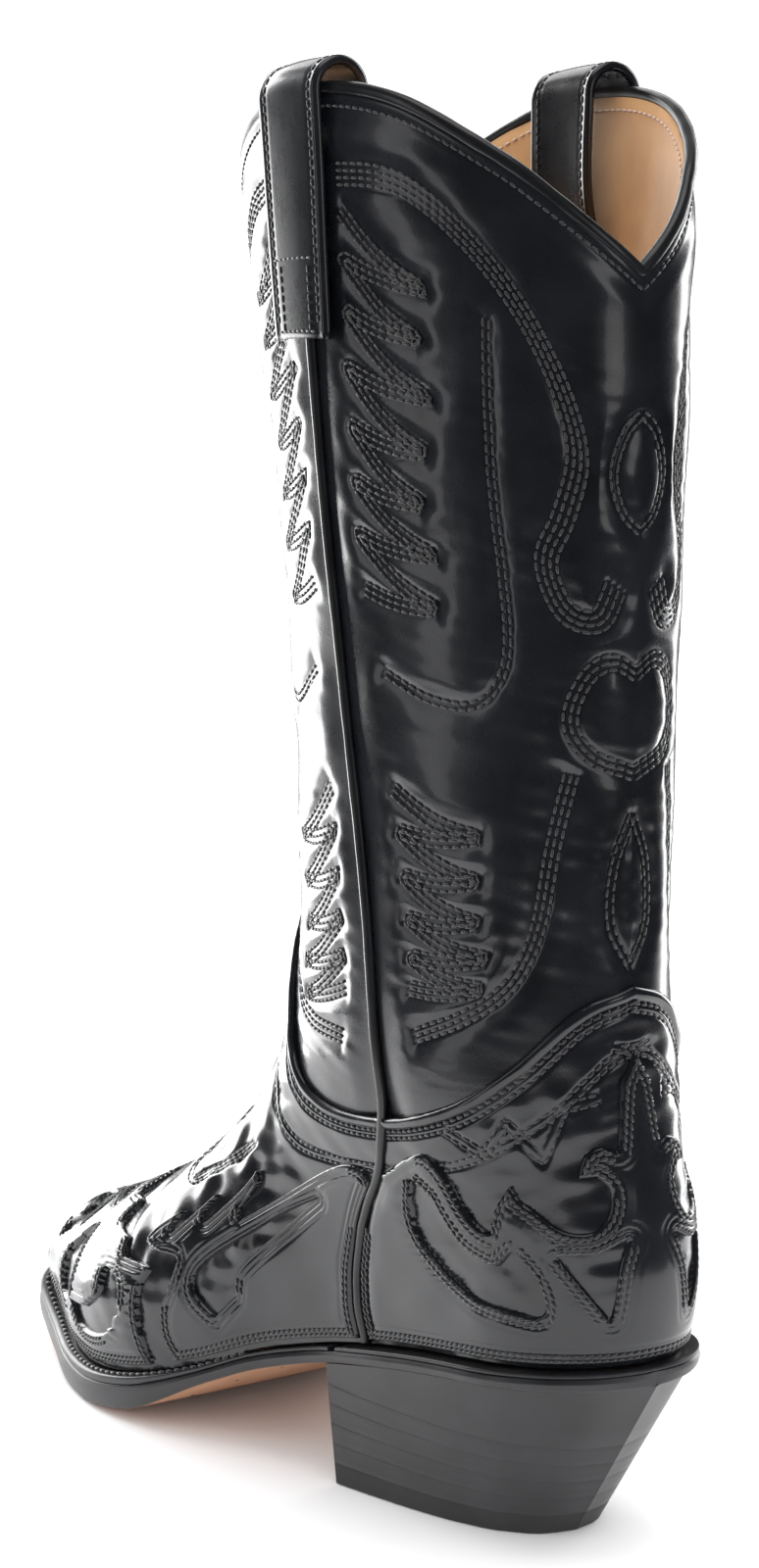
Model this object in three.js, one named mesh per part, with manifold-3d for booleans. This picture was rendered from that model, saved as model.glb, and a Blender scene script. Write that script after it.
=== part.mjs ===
// A right-foot western boot, built as its separate leather, cork, steel and rubber pieces.
// Millimetres, +Z up. The toe points along -Y, the heel is at +Y, and +X is the inner side of the leg.
// The leather pieces are layers on one curved "last" surface, addressed by two numbers:
//   c  goes round the boot: 0 is the toe and the front ridge, 0.5 the inner side seam,
//      1 the middle of the back, and minus values are the outer side
//   v  goes up the boot: 0 is the line where the upper meets the sole, 1 is the scalloped top edge
import * as THREE from "three";
import { mergeVertices } from "three/addons/utils/BufferGeometryUtils.js";
import { TessellateModifier } from "three/addons/modifiers/TessellateModifier.js";
import Module from "manifold-3d";

const wasm = await Module();
wasm.setup();

// ---------- driving dimensions ----------
const GAP = 0.3; // clearance between neighbouring pieces
const LAYER_GAP = 0.5; // clearance between leather layers
const LINING = 1.2; // pigskin lining
const SHAFT = 1.6; // shaft leather and the stiffeners that share its layer
const VAMP = 1.8; // vamp and counter cover
const OVERLAY = 1.2; // decorative overlays
const FOOT_TUCK = 1.5; // how far the foot layers sit inside the last surface
const FEATHER = 0.008; // the v at which the upper starts above the welt
const PIPING_R = 1.4; // side seam piping
const SEAM_HALF_GAP = 2.3; // half the slot that the piping fills
const BEAD_R = 2.1; // top edge binding
const BEAD_DROP = 3; // how far below the top edge the leather stops
const STRAP_WIDTH = 29;
const STRAP_THICK = 2.4;
const WELT_FRONT = 3.1; // welt thickness round the forefoot
const WELT_WAIST = 1.7; // welt thickness in the waist and heel seat
const EDGE_FRONT = 11.2; // welt and outsole together round the forefoot
const EDGE_WAIST = 5.6; // the same in the waist and heel seat
const TOP_LIFT = 6.3; // rubber top lift
const LIFT = 5.7; // one leather heel lift
const LIFT_COUNT = 4;
const NAIL_R = 1.3;
const PEG_R = 0.9;
const MODEL_SHIFT = [0, -0.36, 0]; // brings the middle of the bounding box over the origin

// ---------- stations of the last surface ----------
// Side view: v, y, z along the front ridge, the side and the back.
const FRONT_LINE = [
  [0, -142.5, 21.5], [0.04, -144.5, 30], [0.1, -137, 40], [0.18, -117, 50], [0.27, -87, 61],
  [0.36, -53, 79], [0.44, -22, 105], [0.51, -3, 135], [0.59, 2, 170], [0.7, 1, 220],
  [0.85, -4, 290], [1, -15.5, 353],
];
const SIDE_LINE = [
  [0, 66, 48], [0.1, 67, 61], [0.25, 69, 84], [0.36, 71, 104], [0.46, 73, 128], [0.56, 74, 160],
  [0.68, 73, 214], [0.85, 71, 300], [1, 70, 392],
];
const BACK_LINE = [
  [0, 143, 57], [0.12, 146.6, 76], [0.25, 146, 97], [0.36, 143, 118], [0.46, 141.5, 143],
  [0.57, 142, 180], [0.68, 143.5, 225], [0.85, 145.5, 290], [1, 146.5, 355],
];
// y, z of the line where the upper meets the welt.
const SOLE_LINE = [
  [-162, 27], [-152, 24], [-125, 16], [-95, 11.8], [-66, 11.4], [-42, 15.2], [-15, 23.3], [8, 33],
  [30, 39.7], [60, 46.5], [105, 53.5], [146, 57], [156, 57.5],
];
// share of the way round (0 front, 1 back), z of the scalloped top edge.
const TOP_LINE = [
  [0, 353], [0.12, 367], [0.25, 386], [0.38, 400], [0.5, 404],
  [0.62, 400], [0.75, 386], [0.88, 369], [1, 355],
];
// y, half width of the foot.
const FOOT_WIDTH = [
  [-152, 9.5], [-146, 12], [-132, 17.6], [-110, 26.6], [-85, 37.5], [-62, 43.4], [-40, 44], [-15, 39.5],
  [15, 32.5], [40, 29.2], [70, 28.9], [100, 29.4], [152, 29],
];
// z, half width of the leg.
const LEG_WIDTH = [
  [60, 29], [100, 35.8], [140, 39.5], [180, 40.3], [240, 42], [300, 45.8], [360, 49.3], [404, 51],
];
// v, distance over which the section rounds off behind the front ridge, and ahead of the back.
const FRONT_ROUND = [
  [0, 9], [0.04, 11], [0.1, 16], [0.18, 24], [0.27, 36], [0.36, 50], [0.44, 62], [0.51, 68], [0.59, 72],
  [0.85, 80], [1, 85],
];
const BACK_ROUND = [
  [0, 35], [0.12, 38], [0.25, 42], [0.36, 52], [0.46, 62], [0.57, 70], [0.85, 80], [1, 85],
];
// v, share of the way round of the side seam.
const SEAM_LINE = [
  [0, 0.478], [0.1, 0.472], [0.19, 0.468], [0.3, 0.478], [0.37, 0.505], [0.43, 0.52], [0.52, 0.517],
  [0.63, 0.5], [0.73, 0.475], [0.82, 0.463], [1, 0.463],
];
// c, v of the top edge of the vamp and counter cover.
const COLLAR_LINE = [
  [0, 0.64], [0.06, 0.625], [0.14, 0.575], [0.22, 0.53], [0.3, 0.48], [0.4, 0.438], [0.5, 0.422],
  [0.625, 0.433], [0.745, 0.468], [0.86, 0.507], [1, 0.525],
];
const TOE_SWING = 0.055; // the foot turns this much, per millimetre of length, towards +X at the toe
const TOE_SWING_FROM = 40; // the y that the foot turns about

// ---------- small mathematics ----------
const clamp = (x, low, high) => Math.min(Math.max(x, low), high);
const mix = (a, b, t) => a + (b - a) * t;

function smooth(from, to, x) {
  const t = clamp((x - from) / (to - from), 0, 1);
  return t * t * (3 - 2 * t);
}

// A smooth curve through table rows [x, value, ...], returned as an array of values.
function along(table, x) {
  const last = table.length - 1;
  const at = clamp(x, table[0][0], table[last][0]);
  let i = 0;
  while (i < last - 1 && table[i + 1][0] <= at) i += 1;
  const rise = (k, n) => (table[k + 1][n] - table[k][n]) / (table[k + 1][0] - table[k][0]);
  const slope = (k, n) => {
    if (k === 0) return rise(0, n);
    if (k === last) return rise(last - 1, n);
    const before = table[k][0] - table[k - 1][0];
    const after = table[k + 1][0] - table[k][0];
    return (rise(k - 1, n) * after + rise(k, n) * before) / (before + after);
  };
  const step = table[i + 1][0] - table[i][0];
  const u = (at - table[i][0]) / step;
  return table[i].slice(1).map((value, k) => {
    const n = k + 1;
    const start = value * (2 * u ** 3 - 3 * u ** 2 + 1) + slope(i, n) * step * (u ** 3 - 2 * u ** 2 + u);
    const end = table[i + 1][n] * (3 * u ** 2 - 2 * u ** 3) + slope(i + 1, n) * step * (u ** 3 - u ** 2);
    return start + end;
  });
}

// A quarter circle rise from 0 to 1.
function round(t) {
  return Math.sqrt(Math.max(1 - (1 - clamp(t, 0, 1)) ** 2, 0));
}

// ---------- the last surface ----------
const RIDGE_STEPS = 120;
const RIDGE_SPARE = 0.05; // the ridges run straight on this far, in v, past both ends
const ridgeV = (step) => mix(-RIDGE_SPARE, 1 + RIDGE_SPARE, step / RIDGE_STEPS);

function ridge(table) {
  return Array.from({ length: RIDGE_STEPS + 1 }, (_, i) => {
    const v = ridgeV(i);
    const end = clamp(v, 0, 1);
    const inside = end < 0.5 ? end + 0.01 : end - 0.01;
    const [y, z] = along(table, end);
    const [nearY, nearZ] = along(table, inside);
    const share = (v - end) / (end - inside);
    return [y + (y - nearY) * share, z + (z - nearZ) * share];
  });
}

const FRONT_RIDGE = ridge(FRONT_LINE);
const BACK_RIDGE = ridge(BACK_LINE);

// Distance from (y, z) to a ridge, and the v of the nearest place on it.
function nearRidge(points, y, z) {
  let best = Infinity;
  let v = 0;
  for (let i = 0; i < RIDGE_STEPS; i += 1) {
    const [ay, az] = points[i];
    const dy = points[i + 1][0] - ay;
    const dz = points[i + 1][1] - az;
    const share = clamp(((y - ay) * dy + (z - az) * dz) / (dy * dy + dz * dz), 0, 1);
    const distance = Math.hypot(y - ay - share * dy, z - az - share * dz);
    if (distance < best) {
      best = distance;
      v = ridgeV(i + share);
    }
  }
  return [best, v];
}

// Side view place of the surface, t being the share of the way round from front to back.
function sideView(t, v) {
  const s = (1 - Math.cos(Math.PI * t)) / 2;
  const weights = [(1 - s) * (1 - 2 * s), 4 * s * (1 - s), s * (2 * s - 1)];
  const lines = [FRONT_LINE, SIDE_LINE, BACK_LINE];
  const blend = (pick) => lines.reduce((sum, line, k) => sum + weights[k] * pick(line), 0);
  const y = blend((line) => along(line, v)[0]);
  const z = blend((line) => along(line, v)[1]);
  const soleY = blend((line) => line[0][1]);
  const soleZ = blend((line) => line[0][2]);
  const topZ = blend((line) => line[line.length - 1][2]);
  const toSole = along(SOLE_LINE, soleY)[0] - soleZ;
  const toTop = along(TOP_LINE, t)[0] - topZ;
  return [y, z + toSole * (1 - v) ** 3 + toTop * v ** 4];
}

function halfWidth(y, z) {
  const [fromFront, frontV] = nearRidge(FRONT_RIDGE, y, z);
  const [fromBack, backV] = nearRidge(BACK_RIDGE, y, z);
  const leg = smooth(62, 135, z) * smooth(-60, 0, y);
  const bulge = 1 + 0.05 * smooth(0, 14, z - along(SOLE_LINE, y)[0]);
  const full = mix(along(FOOT_WIDTH, y)[0] * bulge, along(LEG_WIDTH, z)[0], leg);
  const front = round(fromFront / along(FRONT_ROUND, frontV)[0]);
  const back = round(fromBack / along(BACK_ROUND, backV)[0]);
  return full * front * back;
}

const swing = (y, z) => TOE_SWING * (TOE_SWING_FROM - y) * (1 - smooth(60, 160, z));

function lastPoint(c, v) {
  const turned = c > 1 ? c - 2 : c < -1 ? c + 2 : c;
  const round01 = Math.abs(turned);
  const t = round01 + (along(SEAM_LINE, v)[0] - 0.5) * Math.sin(Math.PI * round01);
  const [y, z] = sideView(t, v);
  return new THREE.Vector3(Math.sign(turned) * halfWidth(y, z) + swing(y, z), y, z);
}

function lastNormal(c, v) {
  const e = 0.003;
  const across = lastPoint(c + e, v).sub(lastPoint(c - e, v));
  const up = lastPoint(c, Math.min(v + e, 1)).sub(lastPoint(c, Math.max(v - e, 0)));
  return across.cross(up).normalize();
}

// A point at depth d over the last surface: 0 is the outside of the shaft leather.
function layerPoint(c, v, d) {
  const tuck = FOOT_TUCK * (1 - smooth(0.3, 0.5, v));
  return lastPoint(c, v).addScaledVector(lastNormal(c, v), d - tuck);
}

const collar = (c) => along(COLLAR_LINE, Math.abs(c > 1 ? c - 2 : c))[0];

// How much c or v changes over so many millimetres.
function acrossShare(c, v, length) {
  const e = 0.01;
  return (length * 2 * e) / lastPoint(c + e, v).distanceTo(lastPoint(c - e, v));
}

function upShare(c, v, length) {
  const e = 0.01;
  return (length * e) / lastPoint(c, v).distanceTo(lastPoint(c, v - e));
}

const leatherTop = (c) => 1 - upShare(c, 1, BEAD_DROP);

// ---------- solids ----------
function closedBody(positions, index) {
  let geometry = new THREE.BufferGeometry();
  geometry.setAttribute("position", new THREE.Float32BufferAttribute(positions, 3));
  geometry.setIndex(index);
  geometry = mergeVertices(geometry, 1e-3);
  const old = geometry.index.array;
  const kept = [];
  for (let i = 0; i < old.length; i += 3) {
    const [a, b, c] = [old[i], old[i + 1], old[i + 2]];
    if (a !== b && b !== c && c !== a) kept.push(a, b, c);
  }
  const place = (k) => new THREE.Vector3().fromBufferAttribute(geometry.attributes.position, k);
  let volume = 0;
  for (let i = 0; i < kept.length; i += 3) {
    volume += place(kept[i]).dot(place(kept[i + 1]).cross(place(kept[i + 2])));
  }
  if (volume < 0) kept.reverse();
  geometry.setIndex(kept);
  return geometry;
}

// A closed plate: point(a, b, side) gives its two faces, side 0 and 1, for a and b from 0 to 1.
function plate(countA, countB, point) {
  const positions = [];
  const index = [];
  const id = (i, j, side) => (i * (countB + 1) + j) * 2 + side;
  for (let i = 0; i <= countA; i += 1) {
    for (let j = 0; j <= countB; j += 1) {
      for (const side of [0, 1]) positions.push(...point(i / countA, j / countB, side).toArray());
    }
  }
  const quad = (p, q, r, s) => index.push(p, q, r, p, r, s);
  for (let i = 0; i < countA; i += 1) {
    for (let j = 0; j < countB; j += 1) {
      quad(id(i, j, 1), id(i + 1, j, 1), id(i + 1, j + 1, 1), id(i, j + 1, 1));
      quad(id(i, j, 0), id(i, j + 1, 0), id(i + 1, j + 1, 0), id(i + 1, j, 0));
    }
  }
  for (let i = 0; i < countA; i += 1) {
    quad(id(i, 0, 0), id(i + 1, 0, 0), id(i + 1, 0, 1), id(i, 0, 1));
    quad(id(i + 1, countB, 0), id(i, countB, 0), id(i, countB, 1), id(i + 1, countB, 1));
  }
  for (let j = 0; j < countB; j += 1) {
    quad(id(0, j + 1, 0), id(0, j, 0), id(0, j, 1), id(0, j + 1, 1));
    quad(id(countA, j, 0), id(countA, j + 1, 0), id(countA, j + 1, 1), id(countA, j, 1));
  }
  return closedBody(positions, index);
}

// All leather layers share one grid, so that neighbours stay parallel. Columns run round the boot,
// COLUMNS of them from side seam to side seam. Rows run up it: FOOT_ROWS to the collar, then SHAFT_ROWS.
const COLUMNS = 24;
const FOOT_ROWS = 11;
const SHAFT_ROWS = 8;
const LAP_ROW = 9; // the shaft starts here, under the vamp
const STIFF_ROW = 5; // the toe puff and the heel stiffener end here

function rowHeight(c, row) {
  if (row <= FOOT_ROWS) return mix(FEATHER, collar(c), (row / FOOT_ROWS) ** 1.4);
  return mix(collar(c), leatherTop(c), ((row - FOOT_ROWS) / SHAFT_ROWS) ** 1.2);
}

// A leather layer on the grid. middle is the c half way between its side edges, reach how many columns
// it covers each side of that, stride how many columns one of its cells takes.
function layer({ middle, reach, stride, rows, depths, seamGap }) {
  const [lowRow, highRow] = rows;
  const cells = (2 * reach) / stride;
  return plate(cells, highRow - lowRow, (a, b, side) => {
    const nominal = middle + ((2 * a - 1) * reach) / COLUMNS;
    const v = rowHeight(nominal, Math.round(mix(lowRow, highRow, b)));
    const limit = 0.5 - (seamGap ? acrossShare(0.5, v, seamGap) : 0);
    const c = clamp(nominal, middle - limit, middle + limit);
    return layerPoint(c, v, depths[side]);
  });
}

// An overlay: part of a grid layer, cut to an outline in (c, v) with cut-outs. Each cutter is the
// outline made into a thick block that follows the surface.
const SPREAD_C = 300;
const SPREAD_V = 200;
const CUTTER_EDGE = 16;

function cutter(points) {
  const shape = new THREE.Shape(points.map(([c, v]) => new THREE.Vector2(c * SPREAD_C, v * SPREAD_V)));
  const slab = new THREE.ExtrudeGeometry(shape, { depth: 1, bevelEnabled: false });
  slab.deleteAttribute("normal");
  slab.deleteAttribute("uv");
  const fine = new TessellateModifier(CUTTER_EDGE, 20).modify(slab);
  const place = fine.attributes.position;
  const positions = [];
  for (let i = 0; i < place.count; i += 1) {
    const depth = mix(-3, 9, place.getZ(i));
    positions.push(...layerPoint(place.getX(i) / SPREAD_C, place.getY(i) / SPREAD_V, depth).toArray());
  }
  return closedBody(positions, [...Array(place.count).keys()]);
}

// A round rod along a list of points.
function rod(points, radius, sides, steps) {
  const circle = new THREE.Shape();
  for (let k = 0; k < sides; k += 1) {
    const angle = (2 * Math.PI * k) / sides;
    const method = k ? "lineTo" : "moveTo";
    circle[method](radius * Math.cos(angle), radius * Math.sin(angle));
  }
  const path = new THREE.CatmullRomCurve3(points, false, "centripetal");
  const geometry = new THREE.ExtrudeGeometry(circle, { steps, extrudePath: path });
  const place = geometry.attributes.position;
  return closedBody([...place.array], [...Array(place.count).keys()]);
}

// ---------- boolean cuts ----------
function solid(geometry) {
  const bare = new THREE.BufferGeometry().setAttribute("position", geometry.attributes.position.clone());
  if (geometry.index) bare.setIndex(geometry.index);
  const merged = mergeVertices(bare, 1e-3);
  const triVerts = new Uint32Array(merged.index.array);
  const vertProperties = merged.attributes.position.array;
  return new wasm.Manifold(new wasm.Mesh({ numProp: 3, vertProperties, triVerts }));
}

function geometryOf(body) {
  const mesh = body.getMesh();
  return new THREE.BufferGeometry()
    .setAttribute("position", new THREE.BufferAttribute(mesh.vertProperties, 3))
    .setIndex(new THREE.BufferAttribute(mesh.triVerts, 1));
}

const without = (body, cutters) => cutters.reduce((rest, cut) => rest.subtract(solid(cut)), body);
const drilled = (geometry, drills) => geometryOf(without(solid(geometry), drills));

function overlay(base, outline, cutouts) {
  const whole = solid(layer(base)).intersect(solid(cutter(outline)));
  return geometryOf(without(whole, cutouts.map(cutter)));
}

function pin(radius, low, high, x, y, sides) {
  const geometry = new THREE.CylinderGeometry(radius, radius, high - low, sides);
  geometry.rotateX(Math.PI / 2);
  geometry.translate(x, y, (low + high) / 2);
  return geometry;
}

// ---------- materials and the group ----------
const leather = (color, roughness) => new THREE.MeshStandardMaterial({ color, roughness, metalness: 0 });
const MATERIALS = {
  black: leather("#1b1c20", 0.3),
  trim: leather("#141518", 0.35),
  lining: leather("#d3a06c", 0.7),
  sole: leather("#c99374", 0.65),
  edge: leather("#2a2b30", 0.45),
  rubber: leather("#26272b", 0.6),
  cork: leather("#9a7148", 0.95),
  wood: leather("#5d4330", 0.8),
  steel: new THREE.MeshStandardMaterial({ color: "#a9adb3", roughness: 0.35, metalness: 1 }),
};
const boot = new THREE.Group();
boot.position.set(...MODEL_SHIFT);

function add(name, geometry, material) {
  const mesh = new THREE.Mesh(geometry, MATERIALS[material]);
  mesh.name = name;
  boot.add(mesh);
}

// ---------- the upper ----------
const VAMP_DEPTHS = [LAYER_GAP, LAYER_GAP + VAMP];
const SHAFT_DEPTHS = [-SHAFT, 0];
const LINING_DEPTHS = [-SHAFT - LAYER_GAP - LINING, -SHAFT - LAYER_GAP];
const OVERLAY_LOW = VAMP_DEPTHS[1] + 0.6;
const OVERLAY_LAYER = { stride: 1, depths: [OVERLAY_LOW, OVERLAY_LOW + OVERLAY], seamGap: 0 };

function shaft() {
  const rows = [LAP_ROW, FOOT_ROWS + SHAFT_ROWS];
  const common = { reach: COLUMNS / 2, stride: 2, rows };
  for (const [name, middle] of [["front", 0], ["back", 1]]) {
    const panel = { ...common, middle, depths: SHAFT_DEPTHS, seamGap: SEAM_HALF_GAP };
    const lining = { ...common, middle, depths: LINING_DEPTHS, seamGap: GAP };
    add(name + "_shaft_panel", layer(panel), "black");
    add(name + "_shaft_lining", layer(lining), "lining");
  }
}

function foot() {
  const whole = { reach: COLUMNS / 2, rows: [0, FOOT_ROWS] };
  const cover = { ...whole, stride: 1, depths: VAMP_DEPTHS, seamGap: SEAM_HALF_GAP };
  add("vamp", layer({ ...cover, middle: 0 }), "black");
  add("heel_counter_cover", layer({ ...cover, middle: 1 }), "black");
  const lining = { ...whole, stride: 2, rows: [0, LAP_ROW - 1], depths: LINING_DEPTHS, seamGap: GAP };
  add("vamp_lining", layer({ ...lining, middle: 0 }), "lining");
  add("heel_lining", layer({ ...lining, middle: 1 }), "lining");
  const stiff = { stride: 1, rows: [0, STIFF_ROW], depths: SHAFT_DEPTHS, seamGap: 0 };
  add("toe_puff", layer({ ...stiff, middle: 0, reach: 6 }), "cork");
  add("heel_stiffener", layer({ ...stiff, middle: 1, reach: 8 }), "cork");
}

// Outlines are in (c, v). A mirrored copy runs the same points back with c negated.
function spline(points, count) {
  const curve = new THREE.SplineCurve(points.map(([c, v]) => new THREE.Vector2(c, v)));
  return curve.getPoints(count).map((p) => [p.x, p.y]);
}

const mirrored = (points, middle) => [...points].reverse().map(([c, v]) => [2 * middle - c, v]);

function toeOverlay() {
  const half = [
    [0.335, 0.012], [0.325, 0.1], [0.31, 0.19], [0.27, 0.2],
    ...spline([[0.245, 0.235], [0.2, 0.245], [0.165, 0.285], [0.12, 0.275]], 5),
    [0.09, 0.32], [0.05, 0.3], [0.02, 0.335],
  ];
  const foot = [[0, 0.012], [0.06, 0.012], [0.12, 0.012], [0.18, 0.012], [0.26, 0.012]];
  const outline = [...foot, ...half, [0, 0.375], ...mirrored(half, 0), ...mirrored(foot, 0).slice(0, -1)];
  const scroll = [
    ...spline([[0.03, 0.17], [0.065, 0.205], [0.105, 0.195], [0.13, 0.15], [0.115, 0.1]], 6),
    ...spline([[0.1, 0.12], [0.105, 0.15], [0.09, 0.172], [0.065, 0.175]], 4),
  ];
  const drop = [[0.165, 0.2], [0.19, 0.16], [0.215, 0.11], [0.22, 0.07], [0.195, 0.06], [0.175, 0.1]];
  const slot = [[0.045, 0.275], [0.075, 0.255], [0.115, 0.245], [0.07, 0.236]];
  const holes = [scroll, drop, slot];
  const base = { ...OVERLAY_LAYER, middle: 0, reach: 9, rows: [0, 9] };
  return overlay(base, outline, [...holes, ...holes.map((hole) => mirrored(hole, 0))]);
}

// The wing on each side of the vamp, with three flame points and a leaf cut-out.
function vampWing(side) {
  const edge = 0.494;
  const outline = [
    [0.352, 0.014], [edge, 0.014], [edge, 0.17], [edge, 0.335],
    ...spline([[0.475, 0.352], [0.44, 0.362], [0.405, 0.35], [0.37, 0.315], [0.352, 0.285]], 8),
    [0.297, 0.37], [0.314, 0.285], [0.272, 0.343], [0.29, 0.262], [0.262, 0.31], [0.272, 0.24],
    [0.328, 0.21], [0.342, 0.11],
  ];
  const leaf = [
    [0.43, 0.308],
    ...spline([[0.4, 0.285], [0.372, 0.245], [0.358, 0.235], [0.362, 0.15], [0.385, 0.085]], 8),
    ...spline([[0.397, 0.12], [0.393, 0.19], [0.408, 0.245]], 5),
  ];
  const turn = (points) => (side > 0 ? points : mirrored(points, 0));
  const base = { ...OVERLAY_LAYER, middle: 0.375 * side, reach: 3.5, rows: [0, 10] };
  return overlay(base, turn(outline), [turn(leaf)]);
}

// The scrolled overlay that wraps the heel, with a leaf and a drop cut out on each side.
function heelOverlay() {
  const half = [
    [0.506, 0.345],
    ...spline([[0.54, 0.368], [0.58, 0.376], [0.62, 0.345], [0.66, 0.28], [0.685, 0.255]], 6),
    [0.724, 0.332],
    ...spline([[0.76, 0.29], [0.8, 0.258], [0.85, 0.252], [0.892, 0.275], [0.905, 0.31], [0.88, 0.332]], 6),
    [0.842, 0.331], [0.86, 0.36], [0.9, 0.37], [0.938, 0.362], [0.96, 0.44],
  ];
  const foot = [[1, 0.014], [0.83, 0.014], [0.67, 0.014], [0.506, 0.014], [0.506, 0.18]];
  const outline = [...foot, ...half, [1, 0.47], ...mirrored(half, 1), ...mirrored(foot, 1).slice(0, -1)];
  const leaf = [
    [0.56, 0.34], [0.59, 0.22], [0.64, 0.15], [0.7, 0.122], [0.735, 0.12],
    [0.738, 0.18], [0.715, 0.23], [0.685, 0.2], [0.64, 0.235], [0.6, 0.31],
  ];
  const drop = [[0.78, 0.218], [0.815, 0.15], [0.845, 0.1], [0.865, 0.14], [0.925, 0.235], [0.85, 0.215]];
  const base = { ...OVERLAY_LAYER, middle: 1, reach: 12, rows: [0, 11] };
  return overlay(base, outline, [leaf, drop, mirrored(leaf, 1), mirrored(drop, 1)]);
}

function overlays() {
  add("toe_overlay", toeOverlay(), "black");
  add("medial_vamp_overlay", vampWing(1), "black");
  add("lateral_vamp_overlay", vampWing(-1), "black");
  add("heel_overlay", heelOverlay(), "black");
}

// ---------- seams, edge binding and pull straps ----------
const PIPING_V = [0.02, 0.9]; // from the welt to under the pull strap
const PIPING_DEPTH_FOOT = 1.5;
const PIPING_DEPTH_SHAFT = 0.3;

function piping(side) {
  const points = [];
  const steps = 18;
  for (let i = 0; i <= steps; i += 1) {
    const v = mix(PIPING_V[0], PIPING_V[1], i / steps);
    const depth = mix(PIPING_DEPTH_FOOT, PIPING_DEPTH_SHAFT, smooth(0.38, 0.46, v));
    points.push(layerPoint(0.5 * side, v, depth));
  }
  return rod(points, PIPING_R, 6, 26);
}

function binding(front) {
  const points = [];
  const steps = 24;
  const inset = 0.006;
  const start = front ? -0.5 : 0.5;
  for (let i = 0; i <= steps; i += 1) {
    const c = mix(start + inset, start + 1 - inset, i / steps);
    points.push(layerPoint(c, 1, -(SHAFT + LAYER_GAP + LINING) / 2));
  }
  return rod(points, BEAD_R, 6, 28);
}

// A pull strap: one band that runs up the outside, over the top edge and down the inside, where it
// stands off the lining as a finger loop and is sewn flat again at its lower end.
const STRAP_C = 0.497;
const STRAP_OUT = 3.4; // depth of the middle of the outer leg
const STRAP_LOW_V = 0.9;
const STRAP_IN = [[0.9, -5.2], [0.925, -6.4], [0.955, -11], [1, -12.3]]; // v, depth of the inner leg
const STRAP_DROP = 0.6; // how far below the top edge the loop starts to turn over

function strapLine(c) {
  const outer = [0, 1, 2, 3].map((k) => layerPoint(c, mix(STRAP_LOW_V, 1, k / 3), STRAP_OUT));
  const innerV = [0, 1, 2, 3, 4, 5].map((k) => mix(1, STRAP_LOW_V, k / 5));
  const inner = innerV.map((v) => layerPoint(c, v, along(STRAP_IN, v)[0]));
  const up = outer[3].clone().sub(outer[2]).normalize();
  const outward = outer[3].clone().sub(inner[0]);
  const radius = outward.length() / 2;
  outward.normalize();
  const middle = outer[3].clone().add(inner[0]).multiplyScalar(0.5).addScaledVector(up, -STRAP_DROP);
  const arcSteps = 8;
  const arc = [];
  for (let k = 0; k <= arcSteps; k += 1) {
    const angle = (Math.PI * k) / arcSteps;
    const point = middle.clone().addScaledVector(outward, radius * Math.cos(angle));
    arc.push(point.addScaledVector(up, radius * Math.sin(angle)));
  }
  return [...outer.slice(0, 3), ...arc, ...inner.slice(1)];
}

function pullStrap(side) {
  const half = acrossShare(0.5, 0.95, STRAP_WIDTH / 2);
  const lines = [-half, 0, half].map((shift) => strapLine(side * (STRAP_C + shift)));
  const steps = lines[0].length - 1;
  return plate(steps, 2, (a, b, face) => {
    const k = Math.round(a * steps);
    const line = lines[Math.round(b * 2)];
    const lengthways = line[Math.min(k + 1, steps)].clone().sub(line[Math.max(k - 1, 0)]);
    const across = lines[2][k].clone().sub(lines[0][k]);
    const normal = lengthways.cross(across).normalize();
    return line[k].clone().addScaledVector(normal, (face - 0.5) * STRAP_THICK);
  });
}

function trim() {
  for (const [name, side] of [["medial", 1], ["lateral", -1]]) {
    add(name + "_side_piping", piping(side), "trim");
    add(name + "_pull_strap", pullStrap(side), "black");
  }
  add("front_top_binding", binding(true), "trim");
  add("back_top_binding", binding(false), "trim");
}

// ---------- the bottom: insole, filler, shank, welt, rand and outsole ----------
const soleZ = (y) => along(SOLE_LINE, y)[0];
const waist = (y) => smooth(-45, -8, y);
const weltThick = (y) => mix(WELT_FRONT, WELT_WAIST, waist(y));
const edgeThick = (y) => mix(EDGE_FRONT, EDGE_WAIST, waist(y));

// A point on the plan outline, so far outside the vamp at its lower edge.
function outlinePoint(c, beyond) {
  const base = lastPoint(c, 0);
  const normal = lastNormal(c, 0);
  normal.z = 0;
  normal.normalize();
  return base.addScaledVector(normal, VAMP_DEPTHS[1] - FOOT_TUCK + beyond);
}

// A slab across the foot from one c to another, between two heights over the sole line.
function slab(rows, columns, cFrom, cTo, beyond, low, high) {
  return plate(rows, columns, (a, b, side) => {
    const c = mix(cFrom, cTo, a);
    const left = outlinePoint(c, beyond(c));
    const point = left.lerp(outlinePoint(-c, beyond(-c)), b);
    const centred = Math.abs(2 * b - 1);
    point.z = side ? high(point.y, centred) : low(point.y, centred);
    return point;
  });
}

// How far the sole edge stands out beyond the upper.
const SOLE_EDGE = [
  [0, 5.4], [0.2, 5], [0.33, 4.6], [0.4, 2.6], [0.45, 2.6], [0.49, 4.6], [0.6, 5], [1, 3.8],
];
const soleEdge = (c) => along(SOLE_EDGE, Math.abs(c))[0];

const WELT_UNDER = 6; // how far the welt reaches in under the upper
const WELT_DROP = 0.5; // from the line where the upper ends down to the top of the welt

function weltStrip(columns, cFrom, cTo) {
  return plate(columns, 1, (a, b, side) => {
    const c = mix(cFrom, cTo, a);
    const point = outlinePoint(c, mix(-WELT_UNDER, soleEdge(c), b));
    point.z = soleZ(point.y) - (side ? WELT_DROP : weltThick(point.y) - GAP);
    return point;
  });
}

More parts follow.
